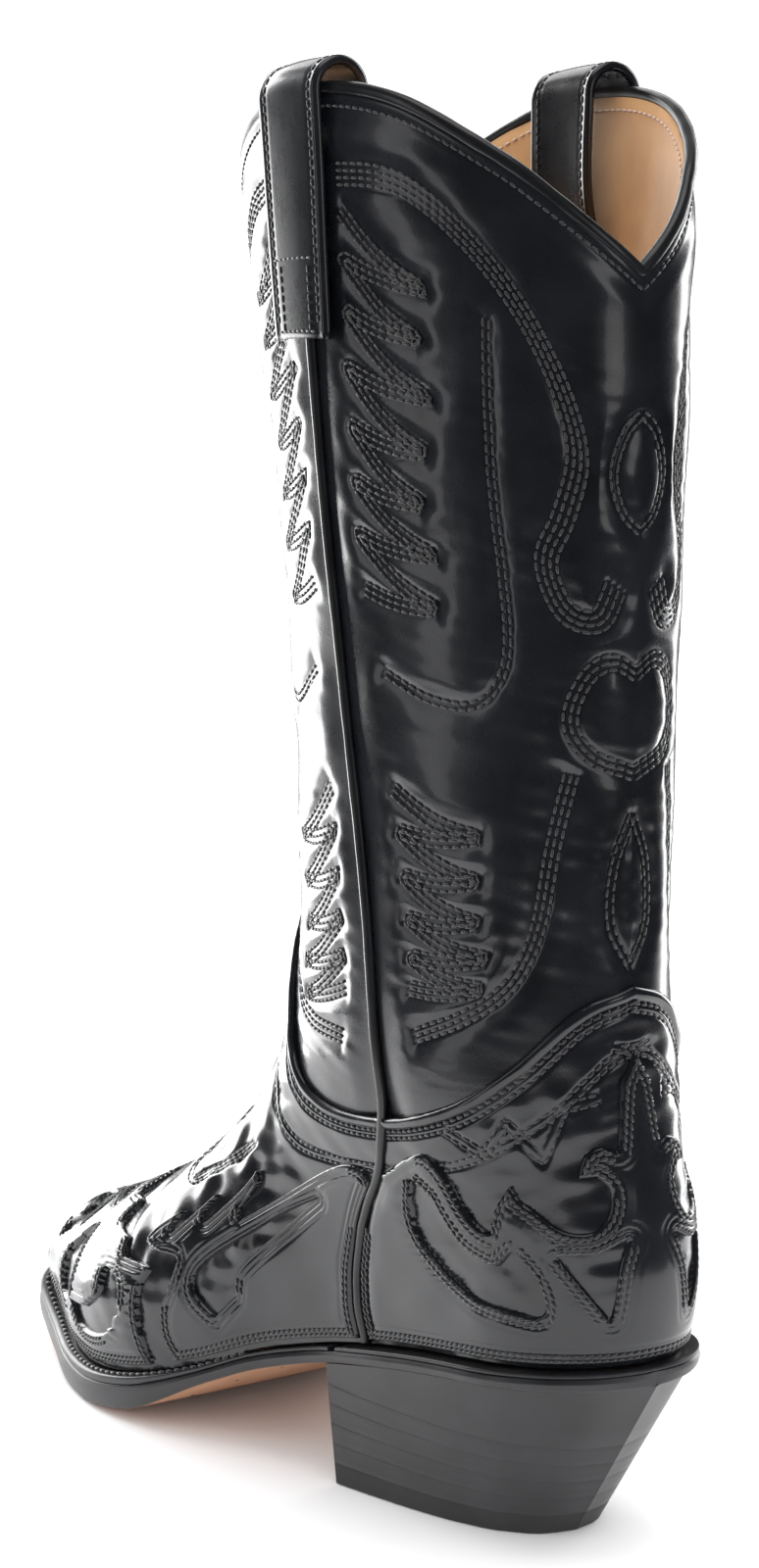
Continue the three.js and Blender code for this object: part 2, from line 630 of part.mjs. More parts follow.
// Pegs through the waist of the outsole: x, y in pairs either side of the shank.
const PEG_ROWS = [[22, 24], [25, 6], [29, -12], [33, -30]];
const PEG_LENGTH = 2.3;
const SHANK_CROWN = 2; // the waist of the outsole is this much thicker along its middle

function outsoleLow(y, centred) {
  const crown = SHANK_CROWN * waist(y) * (1 - smooth(15, 38, y)) * (1 - centred ** 3);
  return Math.max(soleZ(y) - edgeThick(y) - crown, 0);
}

function pegPlaces() {
  const places = [];
  for (const [half, y] of PEG_ROWS) {
    for (const side of [1, -1]) {
      const low = outsoleLow(y, 0.75);
      places.push([side * half + swing(y, 0), y, low]);
    }
  }
  return places;
}

const INSOLE = 3;
const SOCK_LINER = 1;
const INSOLE_INSET = VAMP_DEPTHS[1] - LINING_DEPTHS[0] + 1.6; // from the outside of the vamp
const FILLER_INSET = 6.6;
const FILLER_END = 0.33; // the c at which the cork filler stops, behind the ball of the foot
const SHANK = { from: -18, to: 92, half: 7.5, low: 1.6, high: 0.4 };

function bottom() {
  const inset = (millimetres) => () => -millimetres;
  const over = (millimetres) => (y) => soleZ(y) + millimetres;
  const linerLow = INSOLE + GAP + 0.4;
  add("insole", slab(26, 2, 0, 1, inset(INSOLE_INSET), over(GAP), over(INSOLE + GAP)), "sole");
  const liner = slab(26, 2, 0, 1, inset(INSOLE_INSET + 0.8), over(linerLow), over(linerLow + SOCK_LINER));
  add("sock_liner", liner, "lining");
  const fillerLow = (y) => soleZ(y) - weltThick(y);
  add("cork_filler", slab(12, 2, 0, FILLER_END, inset(FILLER_INSET), fillerLow, soleZ), "cork");
  const shank = plate(14, 1, (a, b, side) => {
    const y = mix(SHANK.from, SHANK.to, a);
    const x = mix(-SHANK.half, SHANK.half, b) + swing(y, 0);
    return new THREE.Vector3(x, y, soleZ(y) - (side ? SHANK.high : SHANK.low));
  });
  add("steel_shank", shank, "steel");
  add("welt", weltStrip(44, -0.47, 0.47), "edge");
  add("heel_rand", weltStrip(26, 0.478, 1.522), "edge");
  const holeTop = PEG_LENGTH + GAP;
  const drills = pegPlaces().map(([x, y, low]) => pin(PEG_R + GAP, low - 3, low + holeTop, x, y, 6));
  const outsoleTop = (y) => soleZ(y) - weltThick(y) - GAP;
  const outsole = slab(34, 4, 0, 1, soleEdge, outsoleLow, outsoleTop);
  add("outsole", drilled(outsole, drills), "sole");
  pegPlaces().forEach(([x, y, low], i) => {
    add("waist_peg_" + (i + 1), pin(PEG_R, low + 0.1, low + PEG_LENGTH, x, y, 6), "wood");
  });
}

// ---------- the heel ----------
// Half outlines: share of the way from the breast corner to the back, y, half width.
const HEEL_TOP = [
  [0, 38, 32.6], [0.12, 52, 34.2], [0.35, 80, 34.2], [0.6, 106, 32.3], [0.8, 126, 25.8],
  [0.92, 139.5, 14.8], [1, 145.3, 0],
];
const HEEL_FOOT = [
  [0, 42, 31], [0.12, 54, 29.5], [0.35, 72, 26.8], [0.6, 90, 22.6], [0.8, 103, 16.8], [0.92, 111, 9],
  [1, 113.5, 0],
];
const HEEL_HEIGHT = 48; // height at which the section reaches HEEL_TOP

function heelPoint(k, across, z) {
  const [footY, footHalf] = along(HEEL_FOOT, k);
  const [topY, topHalf] = along(HEEL_TOP, k);
  const y = mix(footY, topY, z / HEEL_HEIGHT);
  const half = mix(footHalf, topHalf, z / HEEL_HEIGHT);
  return new THREE.Vector3(mix(half, -half, across) + swing(y, 0), y, z);
}

function heelSlice(low, high) {
  return plate(16, 2, (a, b, side) => {
    if (!side) return heelPoint(a, b, low);
    if (typeof high === "number") return heelPoint(a, b, high);
    const guess = heelPoint(a, b, HEEL_HEIGHT - 5);
    return heelPoint(a, b, high(guess.y));
  });
}

// Nails through the top lift: x, y.
const NAILS = [[21, 50], [-21, 50], [15, 78], [-15, 78], [0, 100]];
const NAIL_Z = [0.2, 10.6]; // from just inside the top lift into the first leather lift

function heel() {
  const nails = NAILS.map(([x, y]) => [x + swing(y, 0), y]);
  const drills = nails.map(([x, y]) => pin(NAIL_R + GAP, -1, NAIL_Z[1] + 0.4, x, y, 8));
  add("rubber_top_lift", drilled(heelSlice(0, TOP_LIFT), drills), "rubber");
  let low = TOP_LIFT + GAP;
  for (let i = 1; i <= LIFT_COUNT; i += 1) {
    const lift = heelSlice(low, low + LIFT);
    add("heel_lift_" + i, i === 1 ? drilled(lift, drills) : lift, "edge");
    low += LIFT + GAP;
  }
  add("heel_base", heelSlice(low, (y) => soleZ(y) - edgeThick(y) - GAP), "edge");
  nails.forEach(([x, y], i) => add("heel_nail_" + (i + 1), pin(NAIL_R, ...NAIL_Z, x, y, 8), "steel"));
}

shaft();
foot();
overlays();
trim();
bottom();
heel();

export default boot;
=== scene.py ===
"""The looks of a black right-foot western boot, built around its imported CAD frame.

The leather pieces are built on the same "last" surface as the CAD pieces, in millimetres. It is
addressed by c, which goes round the boot (0 toe and front, 0.5 inner side seam, 1 back, minus outer
side), and v, which goes up it (0 at the welt, 1 at the scalloped top edge). Objects are in metres.
"""

import math

import bpy
import numpy as np
from mathutils import Matrix, Vector
from mathutils.kdtree import KDTree


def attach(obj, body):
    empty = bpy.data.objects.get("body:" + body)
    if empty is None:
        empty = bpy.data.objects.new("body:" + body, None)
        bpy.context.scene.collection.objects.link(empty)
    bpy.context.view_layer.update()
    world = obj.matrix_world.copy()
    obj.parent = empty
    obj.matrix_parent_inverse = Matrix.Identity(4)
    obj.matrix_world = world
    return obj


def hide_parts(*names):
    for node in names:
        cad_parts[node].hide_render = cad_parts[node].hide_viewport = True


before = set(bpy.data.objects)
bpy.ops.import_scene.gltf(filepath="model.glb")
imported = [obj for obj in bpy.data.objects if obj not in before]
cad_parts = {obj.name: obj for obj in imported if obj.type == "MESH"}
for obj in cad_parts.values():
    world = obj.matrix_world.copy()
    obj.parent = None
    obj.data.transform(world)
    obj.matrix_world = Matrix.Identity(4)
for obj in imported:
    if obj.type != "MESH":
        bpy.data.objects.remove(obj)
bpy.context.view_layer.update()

MM = 0.001
MODEL_SHIFT = np.array([0.0, -0.36, 0.0])  # from the surface's origin to the frame's, mm

# ---------- stations of the last surface, as in the CAD source ----------
FRONT_LINE = [
    [0, -142.5, 21.5], [0.04, -144.5, 30], [0.1, -137, 40], [0.18, -117, 50], [0.27, -87, 61],
    [0.36, -53, 79], [0.44, -22, 105], [0.51, -3, 135], [0.59, 2, 170], [0.7, 1, 220],
    [0.85, -4, 290], [1, -15.5, 353],
]
SIDE_LINE = [
    [0, 66, 48], [0.1, 67, 61], [0.25, 69, 84], [0.36, 71, 104], [0.46, 73, 128], [0.56, 74, 160],
    [0.68, 73, 214], [0.85, 71, 300], [1, 70, 392],
]
BACK_LINE = [
    [0, 143, 57], [0.12, 146.6, 76], [0.25, 146, 97], [0.36, 143, 118], [0.46, 141.5, 143],
    [0.57, 142, 180], [0.68, 143.5, 225], [0.85, 145.5, 290], [1, 146.5, 355],
]
SOLE_LINE = [
    [-162, 27], [-152, 24], [-125, 16], [-95, 11.8], [-66, 11.4], [-42, 15.2], [-15, 23.3], [8, 33],
    [30, 39.7], [60, 46.5], [105, 53.5], [146, 57], [156, 57.5],
]
TOP_LINE = [
    [0, 353], [0.12, 367], [0.25, 386], [0.38, 400], [0.5, 404],
    [0.62, 400], [0.75, 386], [0.88, 369], [1, 355],
]
FOOT_WIDTH = [
    [-152, 9.5], [-146, 12], [-132, 17.6], [-110, 26.6], [-85, 37.5], [-62, 43.4], [-40, 44],
    [-15, 39.5], [15, 32.5], [40, 29.2], [70, 28.9], [100, 29.4], [152, 29],
]
LEG_WIDTH = [
    [60, 29], [100, 35.8], [140, 39.5], [180, 40.3], [240, 42], [300, 45.8], [360, 49.3], [404, 51],
]
FRONT_ROUND = [
    [0, 9], [0.04, 11], [0.1, 16], [0.18, 24], [0.27, 36], [0.36, 50], [0.44, 62], [0.51, 68],
    [0.59, 72], [0.85, 80], [1, 85],
]
BACK_ROUND = [
    [0, 35], [0.12, 38], [0.25, 42], [0.36, 52], [0.46, 62], [0.57, 70], [0.85, 80], [1, 85],
]
SEAM_LINE = [
    [0, 0.478], [0.1, 0.472], [0.19, 0.468], [0.3, 0.478], [0.37, 0.505], [0.43, 0.52], [0.52, 0.517],
    [0.63, 0.5], [0.73, 0.475], [0.82, 0.463], [1, 0.463],
]
COLLAR_LINE = [
    [0, 0.64], [0.06, 0.625], [0.14, 0.575], [0.22, 0.53], [0.3, 0.48], [0.4, 0.438], [0.5, 0.422],
    [0.625, 0.433], [0.745, 0.468], [0.86, 0.507], [1, 0.525],
]
SOLE_EDGE = [
    [0, 5.4], [0.2, 5], [0.33, 4.6], [0.4, 2.6], [0.45, 2.6], [0.49, 4.6], [0.6, 5], [1, 3.8],
]
TOE_SWING = 0.055
TOE_SWING_FROM = 40
FOOT_TUCK = 1.5  # how far the foot layers sit inside the surface
FEATHER = 0.008  # the v at which the upper starts above the welt

# Depths over the surface, mm.
SHAFT_INNER = -1.6
LINING_DEPTHS = (-2.1, -3.3)  # outside, inside
FOOT_DEPTHS = (2.3, 0.5)


# ---------- small mathematics ----------
def smooth(start, end, x):
    t = np.clip((x - start) / (end - start), 0, 1)
    return t * t * (3 - 2 * t)


def mix(a, b, t):
    return a + (b - a) * t


def along(table, x):
    """A smooth curve through table rows [x, value, ...]; the last axis of the result is the values."""
    rows = np.asarray(table, float)
    keys, values = rows[:, 0], rows[:, 1:]
    gap = np.diff(keys)
    rise = np.diff(values, axis=0) / gap[:, None]
    slope = np.empty_like(values)
    slope[0], slope[-1] = rise[0], rise[-1]
    between = (gap[1:] + gap[:-1])[:, None]
    slope[1:-1] = (rise[:-1] * gap[1:, None] + rise[1:] * gap[:-1, None]) / between
    at = np.clip(x, keys[0], keys[-1])
    i = np.clip(np.searchsorted(keys, at, side="right") - 1, 0, len(keys) - 2)
    step = gap[i]
    u = (at - keys[i]) / step
    u, step = u[..., None], step[..., None]
    start = values[i] * (2 * u**3 - 3 * u**2 + 1) + slope[i] * step * (u**3 - 2 * u**2 + u)
    return start + values[i + 1] * (3 * u**2 - 2 * u**3) + slope[i + 1] * step * (u**3 - u**2)


def value(table, x):
    return along(table, np.asarray(x, float))[..., 0]


def hump(x, width):
    """1 where x is 0, falling away smoothly over about the width."""
    return np.exp(-((x / width) ** 2))


def unit(vectors):
    return vectors / np.linalg.norm(vectors, axis=-1, keepdims=True)


def run_along(points):
    """The length of a line up to each of its points."""
    return np.concatenate([[0], np.cumsum(np.linalg.norm(np.diff(points, axis=0), axis=1))])


def ring_of(sides):
    """A unit circle in the floor plane."""
    angle = np.linspace(0, 2 * math.pi, sides, endpoint=False)
    return np.stack([np.cos(angle), np.sin(angle), 0 * angle], -1)


def quarter(t):
    """A quarter circle rise from 0 to 1."""
    return np.sqrt(np.maximum(1 - (1 - np.clip(t, 0, 1)) ** 2, 0))


def waves(points, size, seed, count=9):
    """Smooth, repeatable unevenness between about -1 and 1, with lumps of about the given size."""
    rng = np.random.default_rng(seed)
    total = np.zeros(points.shape[:-1])
    for _ in range(count):
        direction = rng.normal(size=3)
        direction /= np.linalg.norm(direction)
        length = size * rng.uniform(0.7, 1.6)
        total += np.sin(points @ direction * (2 * math.pi / length) + rng.uniform(0, 6.28))
    return total / math.sqrt(count)


# ---------- the last surface ----------
RIDGE_STEPS = 120
RIDGE_SPARE = 0.05
RIDGE_V = np.linspace(-RIDGE_SPARE, 1 + RIDGE_SPARE, RIDGE_STEPS + 1)


def ridge(table):
    end = np.clip(RIDGE_V, 0, 1)
    inside = np.where(end < 0.5, end + 0.01, end - 0.01)
    here, near = along(table, end), along(table, inside)
    return here + (here - near) * ((RIDGE_V - end) / (end - inside))[:, None]


def near_ridge(line, y, z):
    """Distance from each (y, z) to a ridge, more than 0 towards +Y, and the v nearest to it."""
    start, step = line[:-1], np.diff(line, axis=0)
    dy, dz = y[:, None] - start[:, 0], z[:, None] - start[:, 1]
    share = np.clip((dy * step[:, 0] + dz * step[:, 1]) / (step**2).sum(1), 0, 1)
    distance = np.hypot(dy - share * step[:, 0], dz - share * step[:, 1])
    best = distance.argmin(1)
    rows = np.arange(len(y))
    v = mix(RIDGE_V[0], RIDGE_V[-1], (best + share[rows, best]) / RIDGE_STEPS)
    side = np.sign(dy * step[:, 1] - dz * step[:, 0])
    return (distance * side)[rows, best], v


def side_view(t, v):
    s = (1 - np.cos(math.pi * t)) / 2
    weights = [(1 - s) * (1 - 2 * s), 4 * s * (1 - s), s * (2 * s - 1)]
    lines = [FRONT_LINE, SIDE_LINE, BACK_LINE]
    place = sum(w[..., None] * along(line, v) for w, line in zip(weights, lines))
    sole_y, sole_z = (sum(w * line[0][k] for w, line in zip(weights, lines)) for k in (1, 2))
    top_z = sum(w * line[-1][2] for w, line in zip(weights, lines))
    to_sole = value(SOLE_LINE, sole_y) - sole_z
    to_top = value(TOP_LINE, t) - top_z
    return place[..., 0], place[..., 1] + to_sole * (1 - v) ** 3 + to_top * v**4


def half_width(y, z):
    """Half the width at each (y, z) of a grid whose first row is the front ridge and last the back."""
    fronts, backs = zip(*((near_ridge(ridge(FRONT_LINE), *row), near_ridge(ridge(BACK_LINE), *row))
                          for row in zip(y, z)))
    from_front, front_v = (np.array(part) for part in zip(*fronts))
    from_back, back_v = (np.array(part) for part in zip(*backs))
    least = 0.02 * np.linspace(0, 1, len(y))[:, None]
    from_front = np.maximum(from_front - from_front[0], least)
    from_back = np.maximum(from_back[-1] - from_back, least[::-1])
    leg = smooth(62, 135, z) * smooth(-60, 0, y)
    bulge = 1 + 0.05 * smooth(0, 14, z - value(SOLE_LINE, y))
    full = mix(value(FOOT_WIDTH, y) * bulge, value(LEG_WIDTH, z), leg)
    front = quarter(from_front / value(FRONT_ROUND, front_v))
    return full * front * quarter(from_back / value(BACK_ROUND, back_v))


def swing(y, z):
    return TOE_SWING * (TOE_SWING_FROM - y) * (1 - smooth(60, 160, z))


GRID_HALF = 361  # columns from the toe to the back
GRID_ROWS = 441


def surface_grid():
    """Points and outward normals of the surface on a fine grid of c, from -1 to 1, and v."""
    c, v = np.meshgrid(np.linspace(0, 1, GRID_HALF), np.linspace(0, 1, GRID_ROWS), indexing="ij")
    y, z = side_view(c + (value(SEAM_LINE, v) - 0.5) * np.sin(math.pi * c), v)
    half = half_width(y, z)
    lean = swing(y, z)
    inner = np.stack([half + lean, y, z], -1)
    outer = np.stack([lean - half, y, z], -1)
    points = np.concatenate([outer[::-1], inner[1:]])
    wrapped = np.concatenate([points[-2:-1], points, points[1:2]])
    across = (wrapped[2:] - wrapped[:-2]) * ((GRID_HALF - 1) / 2)
    up = np.gradient(points, axis=1) * (GRID_ROWS - 1)
    normals = unit(np.cross(across, up))
    spans = np.stack([np.linalg.norm(across, axis=-1), np.linalg.norm(up, axis=-1)], -1)
    return np.concatenate([points, normals, spans], -1)


GRID = surface_grid()


def look_up(c, v):
    """Point, normal, and millimetres per unit of c and of v, at any c and v."""
    c, v = np.broadcast_arrays(np.asarray(c, float), np.asarray(v, float))
    i = ((c + 1) % 2) / 2 * (2 * GRID_HALF - 2)
    j = np.clip(v, 0, 1) * (GRID_ROWS - 1)
    i0 = np.minimum(i.astype(int), 2 * GRID_HALF - 3)
    j0 = np.minimum(j.astype(int), GRID_ROWS - 2)
    a, b = (i - i0)[..., None], (j - j0)[..., None]
    low = GRID[i0, j0] * (1 - a) + GRID[i0 + 1, j0] * a
    high = GRID[i0, j0 + 1] * (1 - a) + GRID[i0 + 1, j0 + 1] * a
    found = low * (1 - b) + high * b
    normal = unit(found[..., 3:6])
    return found[..., :3], normal, found[..., 6:8]


def skin(c, v, depth):
    """Points at a depth over the surface: 0 is the outside of the shaft leather."""
    point, normal, _ = look_up(c, v)
    tuck = FOOT_TUCK * (1 - smooth(0.3, 0.5, np.asarray(v, float)))
    return point + normal * np.asarray(depth - tuck)[..., None]


def collar(c):
    turned = np.abs((np.asarray(c, float) + 1) % 2 - 1)
    return value(COLLAR_LINE, turned)


# ---------- meshes ----------
def make(name, points, faces, materials, face_slots=None, slot=None, replaces=()):
    """A smooth-shaded object from points in surface millimetres, riding on the root body."""
    mesh = bpy.data.meshes.new(name)
    mesh.from_pydata(((np.asarray(points) + MODEL_SHIFT) * MM).tolist(), [], faces)
    for material in materials:
        mesh.materials.append(material)
    mesh.polygons.foreach_set("use_smooth", [True] * len(mesh.polygons))
    if face_slots is not None:
        mesh.polygons.foreach_set("material_index", np.asarray(face_slots, np.int32))
    mesh.validate()
    mesh.update()
    piece = bpy.data.objects.new(name, mesh)
    bpy.context.scene.collection.objects.link(piece)
    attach(piece, "root")
    if replaces:
        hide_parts(*replaces)
    return piece


def sharp_at(piece, degrees):
    """Marks the edges steeper than an angle, so that smooth shading stops there."""
    piece.data.set_sharp_from_angle(angle=math.radians(degrees))


def quads(index):
    """Faces of a grid of vertex numbers, facing along first axis x second axis."""
    corners = [index[:-1, :-1], index[1:, :-1], index[1:, 1:], index[:-1, 1:]]
    return np.stack([c.ravel() for c in corners], -1).tolist()


def wall(low, top, ratio, flip):
    """Triangles between a coarse border line and a fine one with ratio times its segments."""
    made = []
    for k in range(len(low) - 1):
        run = top[k * ratio : (k + 1) * ratio + 1]
        half = ratio // 2
        made += [(low[k], run[i + 1], run[i]) for i in range(half)]
        made.append((low[k], low[k + 1], run[half]))
        made += [(low[k + 1], run[i + 1], run[i]) for i in range(half, ratio)]
    return [face[::-1] for face in made] if flip else made


def sheet(name, c, v, outer, inner, materials, ratio=6, **facts):
    """A closed leather sheet: a fine outer face with depths outer, and a coarser inner face."""
    top = skin(c, v, outer)
    low = skin(c[::ratio, ::ratio], v[::ratio, ::ratio], np.full(c[::ratio, ::ratio].shape, inner))
    top_id = np.arange(c.size).reshape(c.shape)
    low_id = c.size + np.arange(low[..., 0].size).reshape(low.shape[:2])
    faces = quads(top_id) + [face[::-1] for face in quads(low_id)]
    faces += wall(low_id[:, 0], top_id[:, 0], ratio, False)
    faces += wall(low_id[:, -1], top_id[:, -1], ratio, True)
    faces += wall(low_id[0], top_id[0], ratio, True)
    faces += wall(low_id[-1], top_id[-1], ratio, False)
    faces = [[int(k) for k in face] for face in faces]
    points = np.concatenate([top.reshape(-1, 3), low.reshape(-1, 3)])
    return make(name, points, faces, materials, **facts)


def rings(name, sections, materials, face_slots=None, **facts):
    """A skin over closed sections, an array (section, point, 3), with flat ends."""
    count, size = sections.shape[:2]
    index = np.arange(count * size).reshape(count, size)
    index = np.concatenate([index, index[:, :1]], 1)
    faces = quads(index)
    slots = None if face_slots is None else list(face_slots) * (len(faces) // size)
    faces += [index[0, -2::-1].tolist(), index[-1, :-1].tolist()]
    slots = None if slots is None else slots + [0, 0]
    return make(name, sections.reshape(-1, 3), faces, materials, face_slots=slots, **facts)


def flipped(piece):
    """Turns a piece's faces out where its volume says they face in."""
    mesh = piece.data
    mesh.calc_loop_triangles()
    place = np.array([v.co for v in mesh.vertices])
    corner = np.array([t.vertices for t in mesh.loop_triangles])
    a, b, c = (place[corner[:, k]] for k in range(3))
    if np.einsum("ij,ij->i", a, np.cross(b, c)).sum() < 0:
        mesh.flip_normals()
    return piece


def tube_sections(points, side, radius_side, radius_up, sides):
    """Elliptic sections along a path; side is the direction of the first radius at each point."""
    tangent = unit(np.gradient(points, axis=0))
    up = unit(np.cross(side, tangent))
    angle = np.linspace(0, 2 * math.pi, sides, endpoint=False)
    ring = (
        np.cos(angle)[None, :, None] * side[:, None, :] * np.reshape(radius_side, (-1, 1, 1))
        + np.sin(angle)[None, :, None] * up[:, None, :] * np.reshape(radius_up, (-1, 1, 1))
    )
    return points[:, None, :] + ring


# ---------- lines on the surface ----------
def spline(points, steps=14):
    """A smooth line through (c, v) points."""
    p = np.asarray(points, float)
    if len(p) < 3:
        return mix(p[0], p[-1], np.linspace(0, 1, steps)[:, None])
    p = np.concatenate([[2 * p[0] - p[1]], p, [2 * p[-1] - p[-2]]])
    t = np.linspace(0, 1, steps, endpoint=False)[:, None]
    parts = []
    for k in range(1, len(p) - 2):
        a, b, c, d = p[k - 1 : k + 3]
        parts.append(
            0.5 * (2 * b + (c - a) * t + (2 * a - 5 * b + 4 * c - d) * t**2
                   + (3 * b - a - 3 * c + d) * t**3)
        )
    return np.concatenate(parts + [p[-2:-1]])


def mirror(line, middle=0.0):
    """The same line on the other side of the column c = middle."""
    return np.stack([2 * middle - line[:, 0], line[:, 1]], -1)


def resample(line, spacing, depth=0.0):
    """The line again with points every so many millimetres."""
    dense = np.concatenate([mix(a, b, np.linspace(0, 1, 6, endpoint=False)[:, None])
                            for a, b in zip(line[:-1], line[1:])] + [line[-1:]])
    place = skin(dense[:, 0], dense[:, 1], np.full(len(dense), depth))
    run = run_along(place)
    at = np.linspace(0, run[-1], max(int(round(run[-1] / spacing)), 1) + 1)
    return np.stack([np.interp(at, run, dense[:, k]) for k in (0, 1)], -1)


def offset(line, distance):
    """A line moved sideways on the surface by so many millimetres, to the left of its direction."""
    _, _, spans = look_up(line[:, 0], line[:, 1])
    flat = np.gradient(line, axis=0) * spans
    flat /= np.linalg.norm(flat, axis=1, keepdims=True) + 1e-9
    return line + np.stack([-flat[:, 1], flat[:, 0]], -1) * distance / spans


def tree_of(lines, spacing=0.4):
    """A search tree over points along lines of (c, v), and those points."""
    found = np.concatenate([resample(np.asarray(line), spacing) for line in lines])
    place = skin(found[:, 0], found[:, 1], np.zeros(len(found)))
    tree = KDTree(len(place))
    for i, point in enumerate(place.tolist()):
        tree.insert(point, i)
    tree.balance()
    return tree, found


def distance_to(lines, c, v):
    """Millimetres from each (c, v) to the nearest line."""
    tree, _ = tree_of(lines)
    place = skin(c, v, np.zeros(np.shape(c))).reshape(-1, 3)
    return np.array([tree.find(point)[2] for point in place.tolist()]).reshape(np.shape(c))


# ---------- stitches ----------
STITCH_RINGS = [(-0.82, 0.75), (0.0, 1.0), (0.82, 0.75)]
STITCH_SIDES = 6


def stitch_shape():
    """One stitch: length along x, from -1 to 1, and its faces."""
    points = [(-1.0, 0.0, 0.0)]
    for x, radius in STITCH_RINGS:
        for k in range(STITCH_SIDES):
            angle = 2 * math.pi * k / STITCH_SIDES
            points.append((x, radius * math.cos(angle), radius * math.sin(angle)))
    points.append((1.0, 0.0, 0.0))
    last = len(points) - 1
    faces = []
    for k in range(STITCH_SIDES):
        n = (k + 1) % STITCH_SIDES
        faces.append((0, 1 + n, 1 + k))
        for ring in range(len(STITCH_RINGS) - 1):
            a, b = 1 + ring * STITCH_SIDES, 1 + (ring + 1) * STITCH_SIDES
            faces.append((a + k, a + n, b + n, b + k))
        end = 1 + (len(STITCH_RINGS) - 1) * STITCH_SIDES
        faces.append((end + k, end + n, last))
    return np.array(points), faces


def sew(name, places, tangents, normals, length, radius, material, slot, lean=0.0, flat=0.8):
    """One object that holds a stitch at each place, turned by lean radians about the normal."""
    shape, faces = stitch_shape()
    side = unit(np.cross(normals, tangents))
    ahead = np.cross(side, normals)
    turned = ahead * math.cos(lean) + side * math.sin(lean)
    beside = side * math.cos(lean) - ahead * math.sin(lean)
    points = (
        places[:, None, :]
        + turned[:, None, :] * shape[None, :, :1] * length / 2
        + beside[:, None, :] * shape[None, :, 1:2] * radius
        + normals[:, None, :] * shape[None, :, 2:] * radius * flat
    )
    count = len(shape)
    all_faces = [tuple(k + n * count for k in face) for n in range(len(places)) for face in faces]
    return make(name, points.reshape(-1, 3), all_faces, [material], slot=slot)


def stitch_places(lines, pitch, depth, keep=None):
    """Places, tangents and normals of stitches along lines of (c, v) at a depth over the surface."""
    places, tangents, normals = [], [], []
    for line in lines:
        points = resample(np.asarray(line), pitch, depth)
        if len(points) < 3:
            continue
        middle = (points[1:] + points[:-1]) / 2
        if keep is not None:
            use = keep(middle[:, 0], middle[:, 1])
            if not use.any():
                continue
        else:
            use = np.ones(len(middle), bool)
        ends = skin(points[:, 0], points[:, 1], np.full(len(points), depth))
        _, normal, _ = look_up(middle[:, 0], middle[:, 1])
        tangent = ends[1:] - ends[:-1]
        length = np.linalg.norm(tangent, axis=1, keepdims=True)
        use &= length[:, 0] > 0.3 * pitch
        places.append(((ends[1:] + ends[:-1]) / 2)[use])
        tangents.append((tangent / np.maximum(length, 1e-6))[use])
        normals.append(normal[use])
    return np.concatenate(places), np.concatenate(tangents), np.concatenate(normals)


# ---------- materials ----------
def nodes_of(name, color, roughness, metallic=0.0, coat=0.0, coat_roughness=0.1, sheen=0.0):
    """A new material, its node tree, and its shader with the plain values set."""
    material = bpy.data.materials.new(name)
    material.use_nodes = True
    tree = material.node_tree
    shader = tree.nodes["Principled BSDF"]
    shader.inputs["Base Color"].default_value = (*color, 1)
    shader.inputs["Roughness"].default_value = roughness
    shader.inputs["Metallic"].default_value = metallic
    shader.inputs["Coat Weight"].default_value = coat
    shader.inputs["Coat Roughness"].default_value = coat_roughness
    shader.inputs["Sheen Weight"].default_value = sheen
    return material, tree, shader


def texture(tree, kind, scale, stretch=(1, 1, 1), **settings):
    """A procedural texture in the object's own metres."""
    place = tree.nodes.new("ShaderNodeTexCoord")
    turn = tree.nodes.new("ShaderNodeMapping")
    turn.inputs["Scale"].default_value = stretch
    node = tree.nodes.new(kind)
    node.inputs["Scale"].default_value = scale
    for key, setting in settings.items():
        if key in node.inputs:
            node.inputs[key].default_value = setting
        else:
            setattr(node, key, setting)
    tree.links.new(place.outputs["Object"], turn.inputs["Vector"])
    tree.links.new(turn.outputs["Vector"], node.inputs["Vector"])
    return node


def ranged(tree, source, low, high):
    """A texture's 0 to 1 stretched between two values."""
    node = tree.nodes.new("ShaderNodeMapRange")
    node.inputs["To Min"].default_value = low
    node.inputs["To Max"].default_value = high
    tree.links.new(source, node.inputs["Value"])
    return node.outputs["Result"]


def tinted(tree, shader, source, dark, light):
    """Base colour between two colours by a texture."""
    ramp = tree.nodes.new("ShaderNodeValToRGB")
    ramp.color_ramp.elements[0].position = 0.3
    ramp.color_ramp.elements[1].position = 0.7
    ramp.color_ramp.elements[0].color = (*dark, 1)
    ramp.color_ramp.elements[1].color = (*light, 1)
    tree.links.new(source, ramp.inputs["Fac"])
    tree.links.new(ramp.outputs["Color"], shader.inputs["Base Color"])


def bumped(tree, shader, steps):
    """Chained bumps: each step is (texture output, strength, height in metres)."""
    normal = None
    for source, strength, height in steps:
        bump = tree.nodes.new("ShaderNodeBump")
        bump.inputs["Strength"].default_value = strength
        bump.inputs["Distance"].default_value = height
        tree.links.new(source, bump.inputs["Height"])
        if normal is not None:
            tree.links.new(normal, bump.inputs["Normal"])
        normal = bump.outputs["Normal"]
    tree.links.new(normal, shader.inputs["Normal"])


